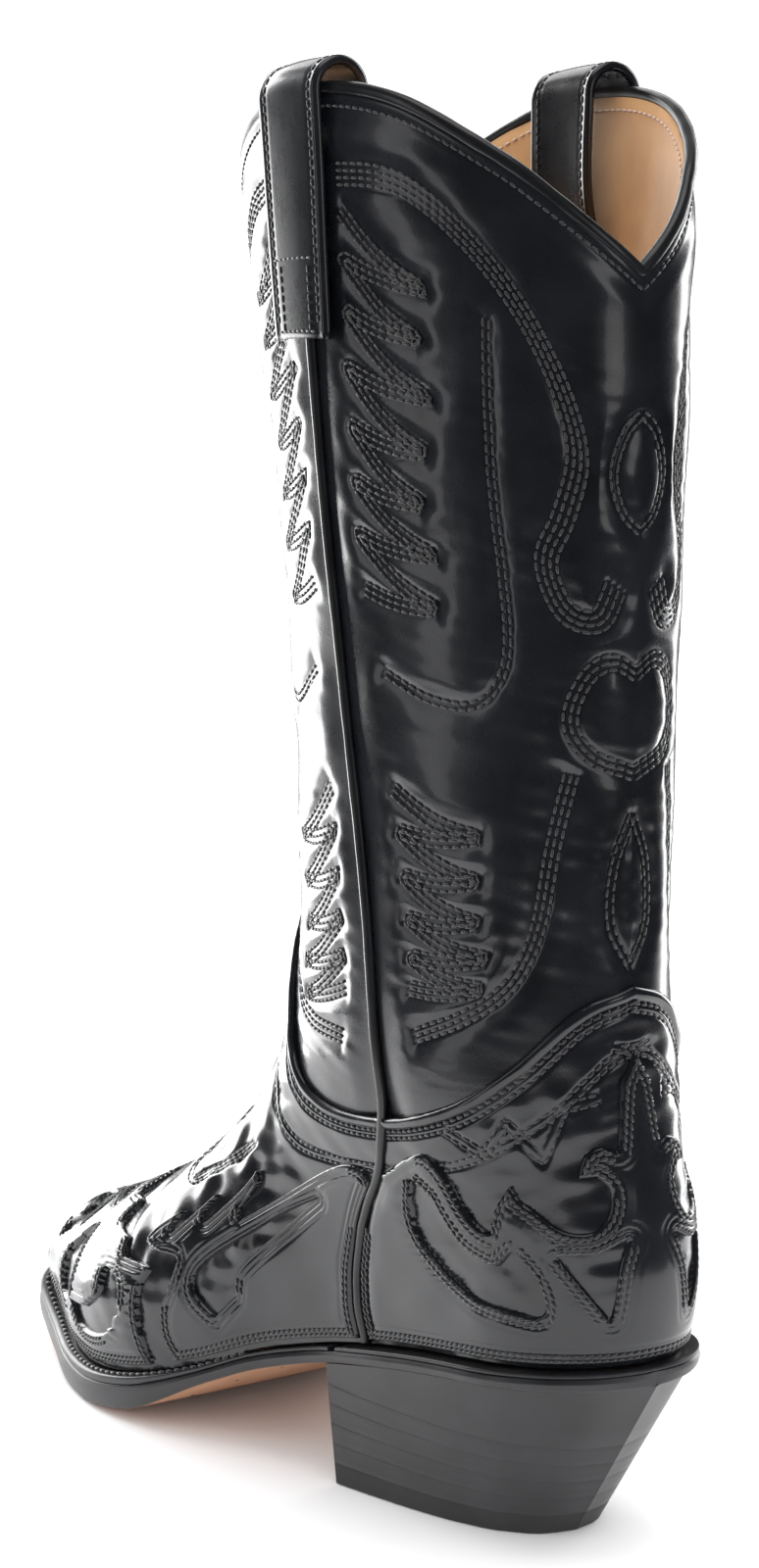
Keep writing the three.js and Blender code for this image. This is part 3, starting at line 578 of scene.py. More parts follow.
def grained(name, dark, light, rough, grain, grain_height, coat=0.0, sheen=0.0, wave_height=0.0003):
    """Leather: cell-like grain, broad unevenness, and uneven colour and gloss."""
    material, tree, shader = nodes_of(name, light, rough[0], coat=coat, sheen=sheen)
    cells = texture(tree, "ShaderNodeTexVoronoi", grain, feature="DISTANCE_TO_EDGE", Randomness=1.0)
    fine = texture(tree, "ShaderNodeTexNoise", grain * 1.7, Detail=4.0, Roughness=0.6)
    broad = texture(tree, "ShaderNodeTexNoise", 45.0, Detail=3.0, Roughness=0.55)
    tinted(tree, shader, broad.outputs["Fac"], dark, light)
    uneven = texture(tree, "ShaderNodeTexNoise", 160.0, Detail=5.0, Roughness=0.65)
    tree.links.new(ranged(tree, uneven.outputs["Fac"], *rough), shader.inputs["Roughness"])
    bumped(tree, shader, [
        (broad.outputs["Fac"], 0.35, wave_height),
        (cells.outputs["Distance"], 0.35, grain_height),
        (fine.outputs["Fac"], 0.25, grain_height),
    ])
    return material


def edge_finish(name, dark, light, rough, stretch):
    """A waxed, ground leather edge: fine scratches along the stretch, with a soft polish."""
    material, tree, shader = nodes_of(name, light, rough[0], coat=0.15, coat_roughness=0.3)
    lines = texture(tree, "ShaderNodeTexNoise", 420.0, stretch=stretch, Detail=5.0, Roughness=0.65)
    blot = texture(tree, "ShaderNodeTexNoise", 70.0, Detail=4.0)
    tinted(tree, shader, blot.outputs["Fac"], dark, light)
    tree.links.new(ranged(tree, lines.outputs["Fac"], *rough), shader.inputs["Roughness"])
    bumped(tree, shader, [(lines.outputs["Fac"], 0.35, 0.00012), (blot.outputs["Fac"], 0.3, 0.0002)])
    return material


def thread(name, color, roughness):
    """Twisted thread: fine strands across it, with painted shade darkening the grooves between them, and
    a soft sheen.
    """
    material, tree, shader = nodes_of(name, color, roughness, sheen=0.3)
    strands = texture(tree, "ShaderNodeTexWave", 900.0, bands_direction="DIAGONAL", Distortion=1.5)
    # Painted shade: the grooves between the strands are coloured darker, following the same bands as the
    # bump.
    dark = tuple(k * 0.6 for k in color)
    tinted(tree, shader, strands.outputs["Fac"], dark, color)
    bumped(tree, shader, [(strands.outputs["Fac"], 0.5, 0.00008)])
    return material


def brushed(name, color, roughness):
    material, tree, shader = nodes_of(name, color, roughness, metallic=1.0)
    lines = texture(tree, "ShaderNodeTexNoise", 600.0, stretch=(1, 0.1, 1), Detail=4.0)
    tree.links.new(ranged(tree, lines.outputs["Fac"], roughness - 0.1, roughness + 0.15),
                   shader.inputs["Roughness"])
    bumped(tree, shader, [(lines.outputs["Fac"], 0.2, 0.00005)])
    return material


SHAFT_BLACK = grained("shaft_black_leather", (0.003, 0.0034, 0.0048), (0.007, 0.0077, 0.0105),
                      (0.22, 0.34), 750.0, 0.00006, coat=0.3)
FOOT_BLACK = grained("foot_black_leather", (0.003, 0.0034, 0.0045), (0.006, 0.0066, 0.009), (0.19, 0.3),
                     800.0, 0.00005, coat=0.35)
OVERLAY_BLACK = grained("overlay_black_leather", (0.003, 0.0034, 0.0045), (0.007, 0.0077, 0.010),
                        (0.18, 0.28), 850.0, 0.00005, coat=0.35)
TRIM_BLACK = grained("trim_black_leather", (0.003, 0.0032, 0.004), (0.007, 0.0075, 0.009), (0.25, 0.42),
                     900.0, 0.00006, coat=0.15)
LINING_TAN = grained("lining_tan_leather", (0.42, 0.21, 0.072), (0.54, 0.29, 0.11), (0.55, 0.75),
                     650.0, 0.00010, sheen=0.25)
SOLE_TAN = grained("sole_tan_leather", (0.43, 0.215, 0.115), (0.53, 0.285, 0.165), (0.45, 0.65),
                   500.0, 0.00006)
BOARD_TAN = grained("leather_board_tan", (0.30, 0.19, 0.10), (0.42, 0.28, 0.16), (0.7, 0.9),
                    300.0, 0.0002)
CORK_BROWN = grained("cork_brown", (0.20, 0.11, 0.05), (0.42, 0.26, 0.13), (0.8, 0.95), 260.0, 0.0004)
PEG_BROWN = grained("peg_brown", (0.05, 0.028, 0.016), (0.12, 0.07, 0.04), (0.6, 0.8), 900.0, 0.0001)
EDGE_BLACK = edge_finish("edge_black_wax", (0.007, 0.007, 0.008), (0.015, 0.0155, 0.018), (0.28, 0.48),
                         (1, 1, 6))
HEEL_BLACK = edge_finish("heel_black_wax", (0.008, 0.008, 0.009), (0.017, 0.0175, 0.02), (0.3, 0.5),
                         (0.6, 0.6, 5))
RUBBER_BLACK = edge_finish("top_lift_rubber", (0.008, 0.008, 0.009), (0.015, 0.015, 0.017), (0.5, 0.7),
                           (1, 1, 1))
THREAD_BLACK = thread("black_thread", (0.016, 0.016, 0.019), 0.38)
THREAD_PALE = thread("pale_thread", (0.72, 0.52, 0.44), 0.6)
STEEL_GREY = brushed("steel_grey", (0.55, 0.56, 0.58), 0.35)


# ---------- the shaft ----------
SEAM_HALF = 0.5  # half the gap that the piping sits over
THREAD_PITCH = 3.0
ROW_GAP = 1.9
GROOVE = 0.5  # how deep a stitch row pulls the leather in
PUFF_REACH = 3.4  # how far from a row the leather has risen most of the way
GROOVE_WIDTH = 0.75
SHAFT_LOW = 0.88  # where the shaft ends under the collar, as a share of the collar's v
LINING_LOW = 0.77  # where the shaft lining ends, the same way
FOOT_LINING_HIGH = 0.64  # where the foot linings end
TOP_GAP = 1.4  # the leather stops this far under the top edge
LINING_TOP_GAP = 1.2
RIM_ROW = 4.7  # the stitch row under the top edge
LINING_ROW = 4.8
ROW_END = 0.495  # the rim rows stop this far round from the middle of a panel, in c
PUFF = 0.9  # how far the leather stands out between the stitch groups


def columns(middle, count, v_rows, gap):
    """c for a grid of columns from seam to seam, with a gap in millimetres at each seam."""
    u = np.linspace(-1, 1, count)[:, None]
    _, _, spans = look_up(np.full(v_rows.shape, 0.5), v_rows)
    return middle + u * (0.5 - gap / spans[..., 0])


def rows_of(line, count, gap=ROW_GAP):
    """Parallel rows, spread evenly about a line."""
    middle = (count - 1) / 2
    return [offset(line, (k - middle) * gap) for k in range(count)]


def feathers(heights, tip, valley):
    """A slanting zigzag of pointed feathers: (p, v) points, with the tips at the given heights."""
    corners = [[tip, heights[0]]]
    for v, after in zip(heights[:-1], heights[1:]):
        # Each valley lies a third of a feather below the next tip, and not all are equally deep.
        unequal = 0.02 * (after % 0.04) / 0.04
        corners += [[valley + unequal, v - 1.35 * (v - after)], [tip, after]]
    curved = []
    for k, (a, b) in enumerate(zip(corners[:-1], corners[1:])):
        t = np.linspace(0, 1, 9, endpoint=False)
        sag = 0.005 if k % 2 == 0 else 0.003
        curved.append(np.stack([mix(a[0], b[0], t), mix(a[1], b[1], t) - sag * np.sin(math.pi * t)], -1))
    return np.concatenate(curved + [[corners[-1]]])


def half_motif():
    """The stitched pattern of one half panel, as (p, v): p is the distance in c from its middle."""
    upper = feathers([0.952, 0.933, 0.912, 0.888, 0.863, 0.838, 0.812, 0.784], 0.437, 0.31)
    lower = feathers([0.672, 0.648, 0.622, 0.596, 0.570, 0.546], 0.427, 0.285)
    sweep = spline([[0.442, 0.966], [0.34, 0.966], [0.235, 0.95], [0.155, 0.92], [0.11, 0.878],
                    [0.13, 0.838], [0.158, 0.808], [0.13, 0.778], [0.075, 0.775], [0.045, 0.80]])
    spear = spline([[0.235, 0.925], [0.232, 0.86], [0.222, 0.80], [0.225, 0.745], [0.27, 0.72],
                    [0.34, 0.722], [0.415, 0.738]])
    drop = spline([[0.0, 0.915], [0.03, 0.90], [0.052, 0.872], [0.035, 0.85], [0.0, 0.842]])
    heart = spline([[0.0, 0.742], [0.05, 0.748], [0.10, 0.735],
                    [0.13, 0.705], [0.09, 0.682], [0.0, 0.672]])
    tail = spline([[0.13, 0.672], [0.165, 0.63], [0.20, 0.575], [0.25, 0.538], [0.33, 0.517],
                   [0.42, 0.505]])
    spine = spline([[0.0, 0.645], [0.045, 0.61], [0.05, 0.57], [0.0, 0.54]])
    return [(upper, 3), (lower, 3), (sweep, 4), (spear, 2), (drop, 2), (heart, 3), (tail, 3), (spine, 2)]


def panel_lines(middle):
    """Every stitch row of a shaft panel, in (c, v)."""
    lines = []
    for line, count in half_motif():
        for side in (1, -1):
            placed = np.stack([middle + side * line[:, 0], line[:, 1]], -1)
            lines += rows_of(resample(placed, 1.0), count)
    return lines


def rim_line(start, end, below):
    """A line so many millimetres under the top edge."""
    c = np.linspace(start, end, 220)
    _, _, spans = look_up(c, np.ones_like(c))
    return np.stack([c, 1 - below / spans[:, 1]], -1)


def shaft_panel(name, middle):
    count, rows = 337, 385
    share = np.linspace(0, 1, rows)[None, :]
    guess = middle + np.linspace(-0.5, 0.5, count)[:, None] + 0 * share
    _, _, spans = look_up(guess, np.ones_like(guess))
    top = 1 - TOP_GAP / spans[..., 1]
    v = mix(collar(guess) * SHAFT_LOW, top, share)
    c = columns(middle, count, v, SEAM_HALF)
    point, _, spans = look_up(c, v)
    lines = panel_lines(middle)
    rim = rim_line(middle - ROW_END, middle + ROW_END, RIM_ROW)
    d = distance_to(lines, c, v)
    from_rim = distance_to([rim], c, v)
    from_top = (top - v) * spans[..., 1]
    from_seam = (0.5 - np.abs(c - middle)) * spans[..., 0] - SEAM_HALF
    free = smooth(5, 12, from_top) * smooth(2, 15, from_seam)
    puff = PUFF * (1 - hump(d, PUFF_REACH)) * free
    creases = waves(point * [1, 1, 2.6], 15, 5) * 0.13 * hump(d, 9) * (1 - hump(d, 1.6))
    rumple = waves(point * [1, 1, 1.5], 60, 8) * 0.3 + waves(point * [1, 1, 3], 21, 3) * 0.06
    depth = puff + (creases + rumple) * free
    depth -= GROOVE * hump(d, GROOVE_WIDTH) * smooth(0, 2, from_seam)
    depth -= 0.5 * hump(from_rim, 0.7)
    depth -= 0.45 * (1 - quarter(from_seam / 1.2))
    panel = sheet(name, c, v, depth, SHAFT_INNER, [SHAFT_BLACK], slot="black_leather",
                  replaces=[name])

    def keep(cc, vv):
        _, _, span = look_up(cc, vv)
        clear_of_collar = (vv - collar(cc)) * span[:, 1] > 3
        return clear_of_collar & ((0.5 - np.abs(cc - middle)) * span[:, 0] > 4)

    places, tangents, normals = stitch_places(lines, THREAD_PITCH, 0.0, keep)
    grid = KDTree(c.size)
    for i, p in enumerate(point.reshape(-1, 3).tolist()):
        grid.insert(p, i)
    grid.balance()
    near = np.array([grid.find(p)[1] for p in places.tolist()])
    places = places + normals * (depth.ravel()[near] + 0.38)[:, None]
    sew(name + "_stitching", places, tangents, normals, 2.5, 0.42, THREAD_BLACK, "black_leather")
    places, tangents, normals = stitch_places([rim], 2.7, -0.15)
    sew(name + "_rim_stitching", places, tangents, normals, 2.2, 0.38, THREAD_BLACK, "black_leather")
    return panel


def lining_sheet(name, middle, v_low, v_high, rows):
    count = 97
    share = np.linspace(0, 1, rows)[None, :]
    guess = middle + np.linspace(-0.5, 0.5, count)[:, None] + 0 * share
    v = mix(v_low(guess), v_high(guess), share)
    c = columns(middle, count, v, 0.3)
    point, _, _ = look_up(c, v)
    # The inner face is the one that shows, so it is the finely modelled one.
    depth = LINING_DEPTHS[1] + waves(point, 40, 11) * 0.22 + waves(point * [1, 1, 2], 15, 4) * 0.08
    top = skin(c, v, depth)
    low = skin(c, v, np.full(c.shape, LINING_DEPTHS[0]))
    index = np.arange(c.size).reshape(c.shape)
    faces = quads(index[:, ::-1]) + quads(index + c.size)
    ring = np.concatenate([index[:-1, 0], index[-1, :-1], index[:0:-1, -1], index[0, :0:-1]])
    after = np.roll(ring, -1)
    faces += np.stack([ring, after, after + c.size, ring + c.size], -1).tolist()
    return flipped(make(name, np.concatenate([top.reshape(-1, 3), low.reshape(-1, 3)]), faces,
                        [LINING_TAN], slot="lining_leather", replaces=[name]))


def shaft():
    for name, middle in (("front", 0.0), ("back", 1.0)):
        shaft_panel(name + "_shaft_panel", middle)

        def top(c):
            _, _, spans = look_up(c, np.ones_like(c))
            return 1 - LINING_TOP_GAP / spans[..., 1]

        lining_sheet(name + "_shaft_lining", middle, lambda c: collar(c) * LINING_LOW, top, 97)
        line = rim_line(middle - ROW_END, middle + ROW_END, LINING_ROW)
        places, tangents, normals = stitch_places([line], 2.9, LINING_DEPTHS[1] - 0.25)
        sew(name + "_lining_stitching", places, tangents, normals, 2.2, 0.36, THREAD_PALE,
            "lining_leather")

    def low(c):
        return np.full(np.shape(c), FEATHER)

    lining_sheet("vamp_lining", 0.0, low, lambda c: collar(c) * FOOT_LINING_HIGH, 49)
    lining_sheet("heel_lining", 1.0, low, lambda c: collar(c) * FOOT_LINING_HIGH, 49)


# ---------- the foot: vamp and heel counter cover ----------
COLLAR_ROWS = (4.6, 6.9, 17.5, 19.8)  # stitch rows below the collar edge, mm


def collar_line(middle, below):
    c = np.linspace(middle - 0.492, middle + 0.492, 260)
    line = np.stack([c, collar(c)], -1)
    return offset(line, -below) if below else line


def foot_cover(name, middle, count, rows, extra):
    """The vamp or the counter cover, with its rolled collar edge and stitch rows."""
    share = np.concatenate([np.linspace(0, 0.86, rows - 48, endpoint=False), np.linspace(0.86, 1, 48)])
    share = share[None, :]
    guess = middle + np.linspace(-0.5, 0.5, count)[:, None] + 0 * share
    v = mix(FEATHER * 0.25, collar(guess), share)
    c = columns(middle, count, v, SEAM_HALF)
    point, _, spans = look_up(c, v)
    lines = [collar_line(middle, below) for below in COLLAR_ROWS] + extra
    d = distance_to(lines, c, v)
    edge = distance_to([collar_line(middle, 0)], c, v)
    from_seam = (0.5 - np.abs(c - middle)) * spans[..., 0] - SEAM_HALF
    depth = FOOT_DEPTHS[0] - 0.62 * hump(d, 0.7)
    depth += 0.95 * np.sin(math.pi * np.clip(edge / 3.6, 0, 1)) ** 0.8
    depth -= 1.1 * (1 - quarter(edge / 0.9))
    depth -= 0.6 * (1 - quarter(from_seam / 1.3))
    soft = 0.5 + 0.5 * smooth(4, 14, edge)
    flex = smooth(-80, -50, point[..., 1]) * (1 - smooth(-5, 30, point[..., 1])) * smooth(0.1, 0.25, v)
    depth += waves(point * [1, 1.2, 2.2], 16, 12) * 0.16 * soft + waves(point, 45, 14) * 0.25 * soft
    depth += waves(point * [0.5, 2.0, 1.6], 17, 15) * 0.45 * flex * soft
    cover = sheet(name, c, v, depth, FOOT_DEPTHS[1], [FOOT_BLACK], slot="black_leather", replaces=[name])
    places, tangents, normals = stitch_places(lines, 2.8, FOOT_DEPTHS[0] - 0.25)
    sew(name + "_stitching", places, tangents, normals, 2.3, 0.4, THREAD_BLACK, "black_leather")
    return cover


def zigzags(points, count=2):
    lines = []
    for side in (1, -1):
        placed = np.array(points, float)
        placed[:, 0] *= side
        line = np.concatenate([mix(a, b, np.linspace(0, 1, 8, endpoint=False)[:, None])
                               for a, b in zip(placed[:-1], placed[1:])] + [placed[-1:]])
        lines += rows_of(line, count, 2.6)
    return lines


def foot():
    vamp_rows = zigzags([[0.488, 0.30], [0.455, 0.23], [0.435, 0.16], [0.408, 0.085], [0.43, 0.03]])
    vamp_rows += zigzags([[0.245, 0.40], [0.20, 0.345], [0.14, 0.36], [0.10, 0.42], [0.055, 0.40],
                          [0.0, 0.46]], 3)
    foot_cover("vamp", 0.0, 433, 205, vamp_rows)
    heel_rows = zigzags([[0.62, 0.405], [0.68, 0.37], [0.725, 0.41], [0.78, 0.36], [0.83, 0.42],
                         [0.905, 0.425]])
    foot_cover("heel_counter_cover", 1.0, 313, 157, heel_rows)


# ---------- overlays ----------
OVERLAY_BASE = 2.15
OVERLAY_RISE = 1.95
EDGE_ROWS = (1.4, 3.0)


def inside_of(outline, c, v):
    """Whether each point is inside a closed outline."""
    inside = np.zeros(c.shape, bool)
    for (c0, v0), (c1, v1) in zip(outline, np.roll(outline, -1, axis=0)):
        if v0 != v1:
            crosses = (v0 > v) != (v1 > v)
            inside ^= crosses & (c < (c1 - c0) * (v - v0) / (v1 - v0) + c0)
    return inside


def overlay(name, outline, holes, cell=0.6):
    """A decorative leather overlay on the foot, cut to an outline with holes, edged with stitches."""
    borders = [np.concatenate([line, line[:1]]) for line in [outline] + holes]
    low, high = outline.min(0), outline.max(0)
    _, _, spans = look_up(*((low + high) / 2))
    count = int((high[0] - low[0]) * spans[0] / cell)
    rows = int((high[1] - low[1]) * spans[1] / cell)
    c, v = np.meshgrid(np.linspace(low[0], high[0], count), np.linspace(low[1], high[1], rows),
                       indexing="ij")
    tree, found = tree_of(borders, 0.25)

    def measure(cc, vv):
        place = skin(cc, vv, np.zeros(cc.shape)).reshape(-1, 3)
        hits = [tree.find(p) for p in place.tolist()]
        near = found[[hit[1] for hit in hits]].reshape(cc.shape + (2,))
        distance = np.array([hit[2] for hit in hits]).reshape(cc.shape)
        inside = inside_of(outline, cc, vv)
        for hole in holes:
            inside &= ~inside_of(hole, cc, vv)
        return np.where(inside, distance, -distance), near

    signed, near = measure(c, v)
    index = np.arange(c.size).reshape(c.shape)
    cells = np.array(quads(index))
    solid = signed.ravel() > 0.3
    cells = cells[solid[cells].any(1)]
    border = ~solid
    cc, vv, d = c.ravel().copy(), v.ravel().copy(), np.maximum(signed.ravel(), 0)
    cc[border], vv[border], d[border] = near[..., 0].ravel()[border], near[..., 1].ravel()[border], 0
    used = np.unique(cells)
    number = np.full(c.size, -1)
    number[used] = np.arange(len(used))
    cells = number[cells]
    cc, vv, d = cc[used], vv[used], d[used]
    point, _, _ = look_up(cc, vv)
    height = OVERLAY_BASE + OVERLAY_RISE * quarter(d / 1.0)
    for row in EDGE_ROWS:
        height -= 0.55 * hump(d - row, 0.55)
    height -= 0.25 * hump(d - 4.7, 0.6)
    height += waves(point, 18, 21) * 0.14 * smooth(1, 5, d)
    top = skin(cc, vv, height)
    bottom = skin(cc, vv, np.full(cc.shape, OVERLAY_BASE - 0.35))
    edges = np.concatenate([cells[:, [k, (k + 1) % 4]] for k in range(4)])
    keys = np.sort(edges, 1)
    _, first, times = np.unique(keys, axis=0, return_index=True, return_counts=True)
    rim = edges[first[times == 1]]
    size = len(used)
    walls = np.stack([rim[:, 1], rim[:, 0], rim[:, 0] + size, rim[:, 1] + size], -1)
    faces = cells.tolist() + (cells[:, ::-1] + size).tolist() + walls.tolist()
    make(name, np.concatenate([top, bottom]), faces, [OVERLAY_BLACK], slot="black_leather",
         replaces=[name])

    all_places = []
    for row in EDGE_ROWS:
        lines = [offset(resample(line, 1.2), side * row) for line in borders for side in (1, -1)]

        def keep(a, b, row=row):
            return measure(a, b)[0] > 0.86 * row

        all_places.append(stitch_places(lines, 2.25, OVERLAY_BASE + OVERLAY_RISE - 0.22, keep))
    places, tangents, normals = (np.concatenate(part) for part in zip(*all_places))
    sew(name + "_stitching", places, tangents, normals, 2.35, 0.46, THREAD_BLACK, "black_leather",
        lean=0.32, flat=0.95)


def path_of(*parts):
    """One outline from points and smooth stretches."""
    return np.concatenate([np.atleast_2d(np.asarray(part, float)) for part in parts])


def both_sides(half, middle):
    """A closed outline from its half, which starts and ends on the middle column."""
    return np.concatenate([half, mirror(half, middle)[-2:0:-1]])


def toe_overlay():
    half = path_of(
        [[0, 0.012], [0.06, 0.012], [0.12, 0.012], [0.18, 0.012], [0.26, 0.012], [0.335, 0.012]],
        spline([[0.332, 0.06], [0.325, 0.1], [0.316, 0.15], [0.31, 0.19], [0.27, 0.2]], 5),
        spline([[0.245, 0.235], [0.2, 0.245], [0.165, 0.285], [0.12, 0.275]], 6),
        [[0.09, 0.32]], spline([[0.07, 0.305], [0.05, 0.30], [0.035, 0.31], [0.02, 0.335]], 5),
        [[0, 0.375]],
    )
    scroll = path_of(
        spline([[0.03, 0.17], [0.065, 0.205], [0.105, 0.195], [0.13, 0.15], [0.115, 0.1]], 6),
        spline([[0.1, 0.12], [0.105, 0.15], [0.09, 0.172], [0.065, 0.175]], 6)[:-1],
    )
    drop = path_of(spline([[0.165, 0.2], [0.19, 0.16], [0.215, 0.11], [0.22, 0.07], [0.195, 0.06],
                           [0.175, 0.1], [0.168, 0.15]], 5))
    slot = path_of(spline([[0.045, 0.275], [0.075, 0.255], [0.115, 0.245], [0.07, 0.236]], 5))
    swirl = path_of(spline([[0.235, 0.075], [0.262, 0.05], [0.295, 0.06], [0.302, 0.11], [0.285, 0.155],
                            [0.262, 0.165], [0.275, 0.12], [0.262, 0.085]], 5))
    holes = [scroll, drop, slot, swirl]
    overlay("toe_overlay", both_sides(half, 0), holes + [mirror(hole) for hole in holes])


def vamp_wing(name, side):
    edge = 0.494
    outline = path_of(
        [[0.352, 0.014], [0.42, 0.014], [edge, 0.014], [edge, 0.1], [edge, 0.17], [edge, 0.26],
         [edge, 0.335]],
        spline([[0.475, 0.352], [0.44, 0.362], [0.405, 0.35], [0.37, 0.315], [0.352, 0.285]], 6),
        spline([[0.335, 0.31], [0.318, 0.35], [0.297, 0.37]], 4),
        spline([[0.308, 0.325], [0.314, 0.285], [0.298, 0.30], [0.272, 0.343]], 4),
        spline([[0.285, 0.30], [0.29, 0.262], [0.278, 0.28], [0.262, 0.31]], 4),
        spline([[0.262, 0.27], [0.272, 0.24], [0.30, 0.222], [0.328, 0.21], [0.34, 0.16],
                [0.342, 0.11]], 4),
    )
    leaf = path_of(
        spline([[0.43, 0.308], [0.4, 0.285], [0.372, 0.245], [0.358, 0.2], [0.362, 0.15],
                [0.385, 0.085]], 6),
        spline([[0.397, 0.12], [0.393, 0.19], [0.408, 0.245]], 6),
    )
    if side < 0:
        outline, leaf = mirror(outline), mirror(leaf)
    overlay(name, outline, [leaf])


def heel_overlay():
    half = path_of(
        [[1, 0.014], [0.92, 0.014], [0.83, 0.014], [0.75, 0.014], [0.67, 0.014], [0.59, 0.014],
         [0.506, 0.014], [0.506, 0.1], [0.506, 0.18], [0.506, 0.26], [0.506, 0.345]],
        spline([[0.54, 0.368], [0.58, 0.376], [0.62, 0.345], [0.66, 0.28], [0.685, 0.255]], 6),
        spline([[0.70, 0.30], [0.724, 0.332]], 3),
        spline([[0.74, 0.305], [0.76, 0.29], [0.8, 0.258], [0.85, 0.252], [0.892, 0.275],
                [0.905, 0.31], [0.88, 0.332]], 6),
        spline([[0.842, 0.331], [0.86, 0.36], [0.9, 0.37], [0.938, 0.362]], 6),
        [[0.96, 0.44], [1, 0.47]],
    )
    leaf = path_of(
        spline([[0.56, 0.34], [0.57, 0.27], [0.59, 0.22], [0.64, 0.15], [0.7, 0.122], [0.735, 0.12],
                [0.738, 0.18], [0.715, 0.23]], 5),
        spline([[0.685, 0.2], [0.64, 0.235], [0.6, 0.31]], 6),
    )
    drop = path_of(spline([[0.78, 0.218], [0.815, 0.15], [0.845, 0.1]], 5),
                   spline([[0.865, 0.14], [0.89, 0.19], [0.925, 0.235]], 5),
                   [[0.85, 0.215]])
    overlay("heel_overlay", both_sides(half, 1), [leaf, drop, mirror(leaf, 1), mirror(drop, 1)])


# ---------- piping, edge binding and pull straps ----------
def piping(name, side):
    v = np.linspace(0.006, 0.925, 360)
    depth = mix(2.6, 0.75, smooth(0.38, 0.46, v))
    c = np.full_like(v, 0.5 * side)
    points = skin(c, v, depth)
    _, normal, _ = look_up(c, v)
    swell = 1 + waves(points, 9, 31) * 0.03
    rings(name, tube_sections(points, normal, 1.5 * swell, 1.6 * swell, 14), [TRIM_BLACK],
          slot="trim_leather", replaces=[name])


def binding(name, middle):
    c = np.linspace(middle - 0.497, middle + 0.497, 420)
    points = skin(c, np.ones_like(c), np.full_like(c, -1.65))
    _, normal, _ = look_up(c, np.ones_like(c))
    swell = 1 + waves(points, 10, 33) * 0.025
    flipped(rings(name, tube_sections(points, normal, 1.95 * swell, 2.0 * swell, 18), [TRIM_BLACK],
                  slot="trim_leather", replaces=[name]))


STRAP_C = 0.497
STRAP_HALF = 14.5
STRAP_THICK = 2.4
STRAP_OUT = 3.4
STRAP_LOW_V = 0.9
STRAP_IN = [[0.9, -5.2], [0.925, -6.4], [0.955, -11], [1, -12.3]]
STRAP_DROP = 0.6
STRAP_ARC = 28


def strap_line(c):
    """The middle line of a pull strap at one c: up the outside, over, and down the inside."""
    outer_v = np.linspace(STRAP_LOW_V, 1, 24)
    outer = skin(np.full(24, c), outer_v, np.full(24, STRAP_OUT))
    inner_v = np.linspace(1, STRAP_LOW_V, 30)
    inner = skin(np.full(30, c), inner_v, value(STRAP_IN, inner_v))
    up = outer[-1] - outer[-2]
    up /= np.linalg.norm(up)
    across = outer[-1] - inner[0]
    radius = np.linalg.norm(across) / 2
    middle = (outer[-1] + inner[0]) / 2 - up * STRAP_DROP
    angle = np.linspace(0, math.pi, STRAP_ARC)[:, None]
    arc = middle + across / 2 * np.cos(angle) + up * radius * np.sin(angle)
    return np.concatenate([outer[:-1], arc, inner[1:]])


def pull_strap(name, side):
    _, _, spans = look_up(0.5, 0.95)
    half = STRAP_HALF / spans[0]
    s = np.linspace(-1, 1, 29)
    lines = np.stack([strap_line(side * (STRAP_C + half * k)) for k in s], 1)
    ahead = np.gradient(lines, axis=0)
    across = np.gradient(lines, axis=1)
    normal = unit(np.cross(across, ahead) * side)
    crown = STRAP_THICK / 2 * quarter((1 - np.abs(s)) / 0.07)
    rim = 0.35 * hump(np.abs(s) - 0.9, 0.06) - 0.3 * hump(np.abs(s) - 0.74, 0.03)
    over = lines + normal * (crown + rim)[None, :, None]
    under = lines - normal * crown[None, :, None]
    sections = np.concatenate([over, under[:, -2:0:-1]], 1)
    flipped(rings(name, sections, [SHAFT_BLACK], slot="black_leather", replaces=[name]))

    def on_strap(k, across_share):
        j = (across_share + 1) / 2 * (len(s) - 1)
        i0 = np.clip(np.floor(k).astype(int), 0, len(lines) - 2)
        j0 = np.clip(np.floor(j).astype(int), 0, len(s) - 2)
        a, b = (k - i0)[:, None], (j - j0)[:, None]

        def pick(grid):
            low = grid[i0, j0] * (1 - a) + grid[i0 + 1, j0] * a
            return low * (1 - b) + (grid[i0, j0 + 1] * (1 - a) + grid[i0 + 1, j0 + 1] * a) * b

        up = pick(normal)
        return pick(over) + up * 0.12, up

    run = np.linspace(1.5, len(lines) - 2.5, 600)
    box_low, box_high = 0.7, 7.6
    level = np.linspace(-0.74, 0.74, 60)
    rows = [(run, np.full(600, k)) for k in (-0.74, 0.74)]
    rows += [(np.full(60, k), level) for k in (box_low, box_high)]
    rows += [(np.linspace(box_low, box_high, 60), np.full(60, k)) for k in (-0.5, 0.5)]
    places, tangents, normals = [], [], []
    for k, j in rows:
        place, up = on_strap(k, j)
        length = run_along(place)
        at = np.arange(1.2, length[-1] - 1.0, 2.6)
        step = np.gradient(place, axis=0)
        for grid, found in ((place, places), (step, tangents), (up, normals)):
            found.append(np.stack([np.interp(at, length, grid[:, m]) for m in range(3)], -1))
    places, tangents, normals = (np.concatenate(part) for part in (places, tangents, normals))
    tangents = unit(tangents)
    sew(name + "_stitching", places, tangents, normals, 2.1, 0.36, THREAD_BLACK, "black_leather")


def trim():
    for name, side in (("medial", 1), ("lateral", -1)):
        piping(name + "_side_piping", side)
        pull_strap(name + "_pull_strap", side)
    binding("front_top_binding", 0.0)
    binding("back_top_binding", 1.0)


# ---------- the bottom ----------
def sole_z(y):
    return value(SOLE_LINE, y)


def waist(y):
    return smooth(-45, -8, y)


def welt_thick(y):
    return mix(3.1, 1.7, waist(y))


def edge_thick(y):
    return mix(11.2, 5.6, waist(y))


def sole_edge(c):
    return value(SOLE_EDGE, np.abs((np.asarray(c, float) + 1) % 2 - 1))


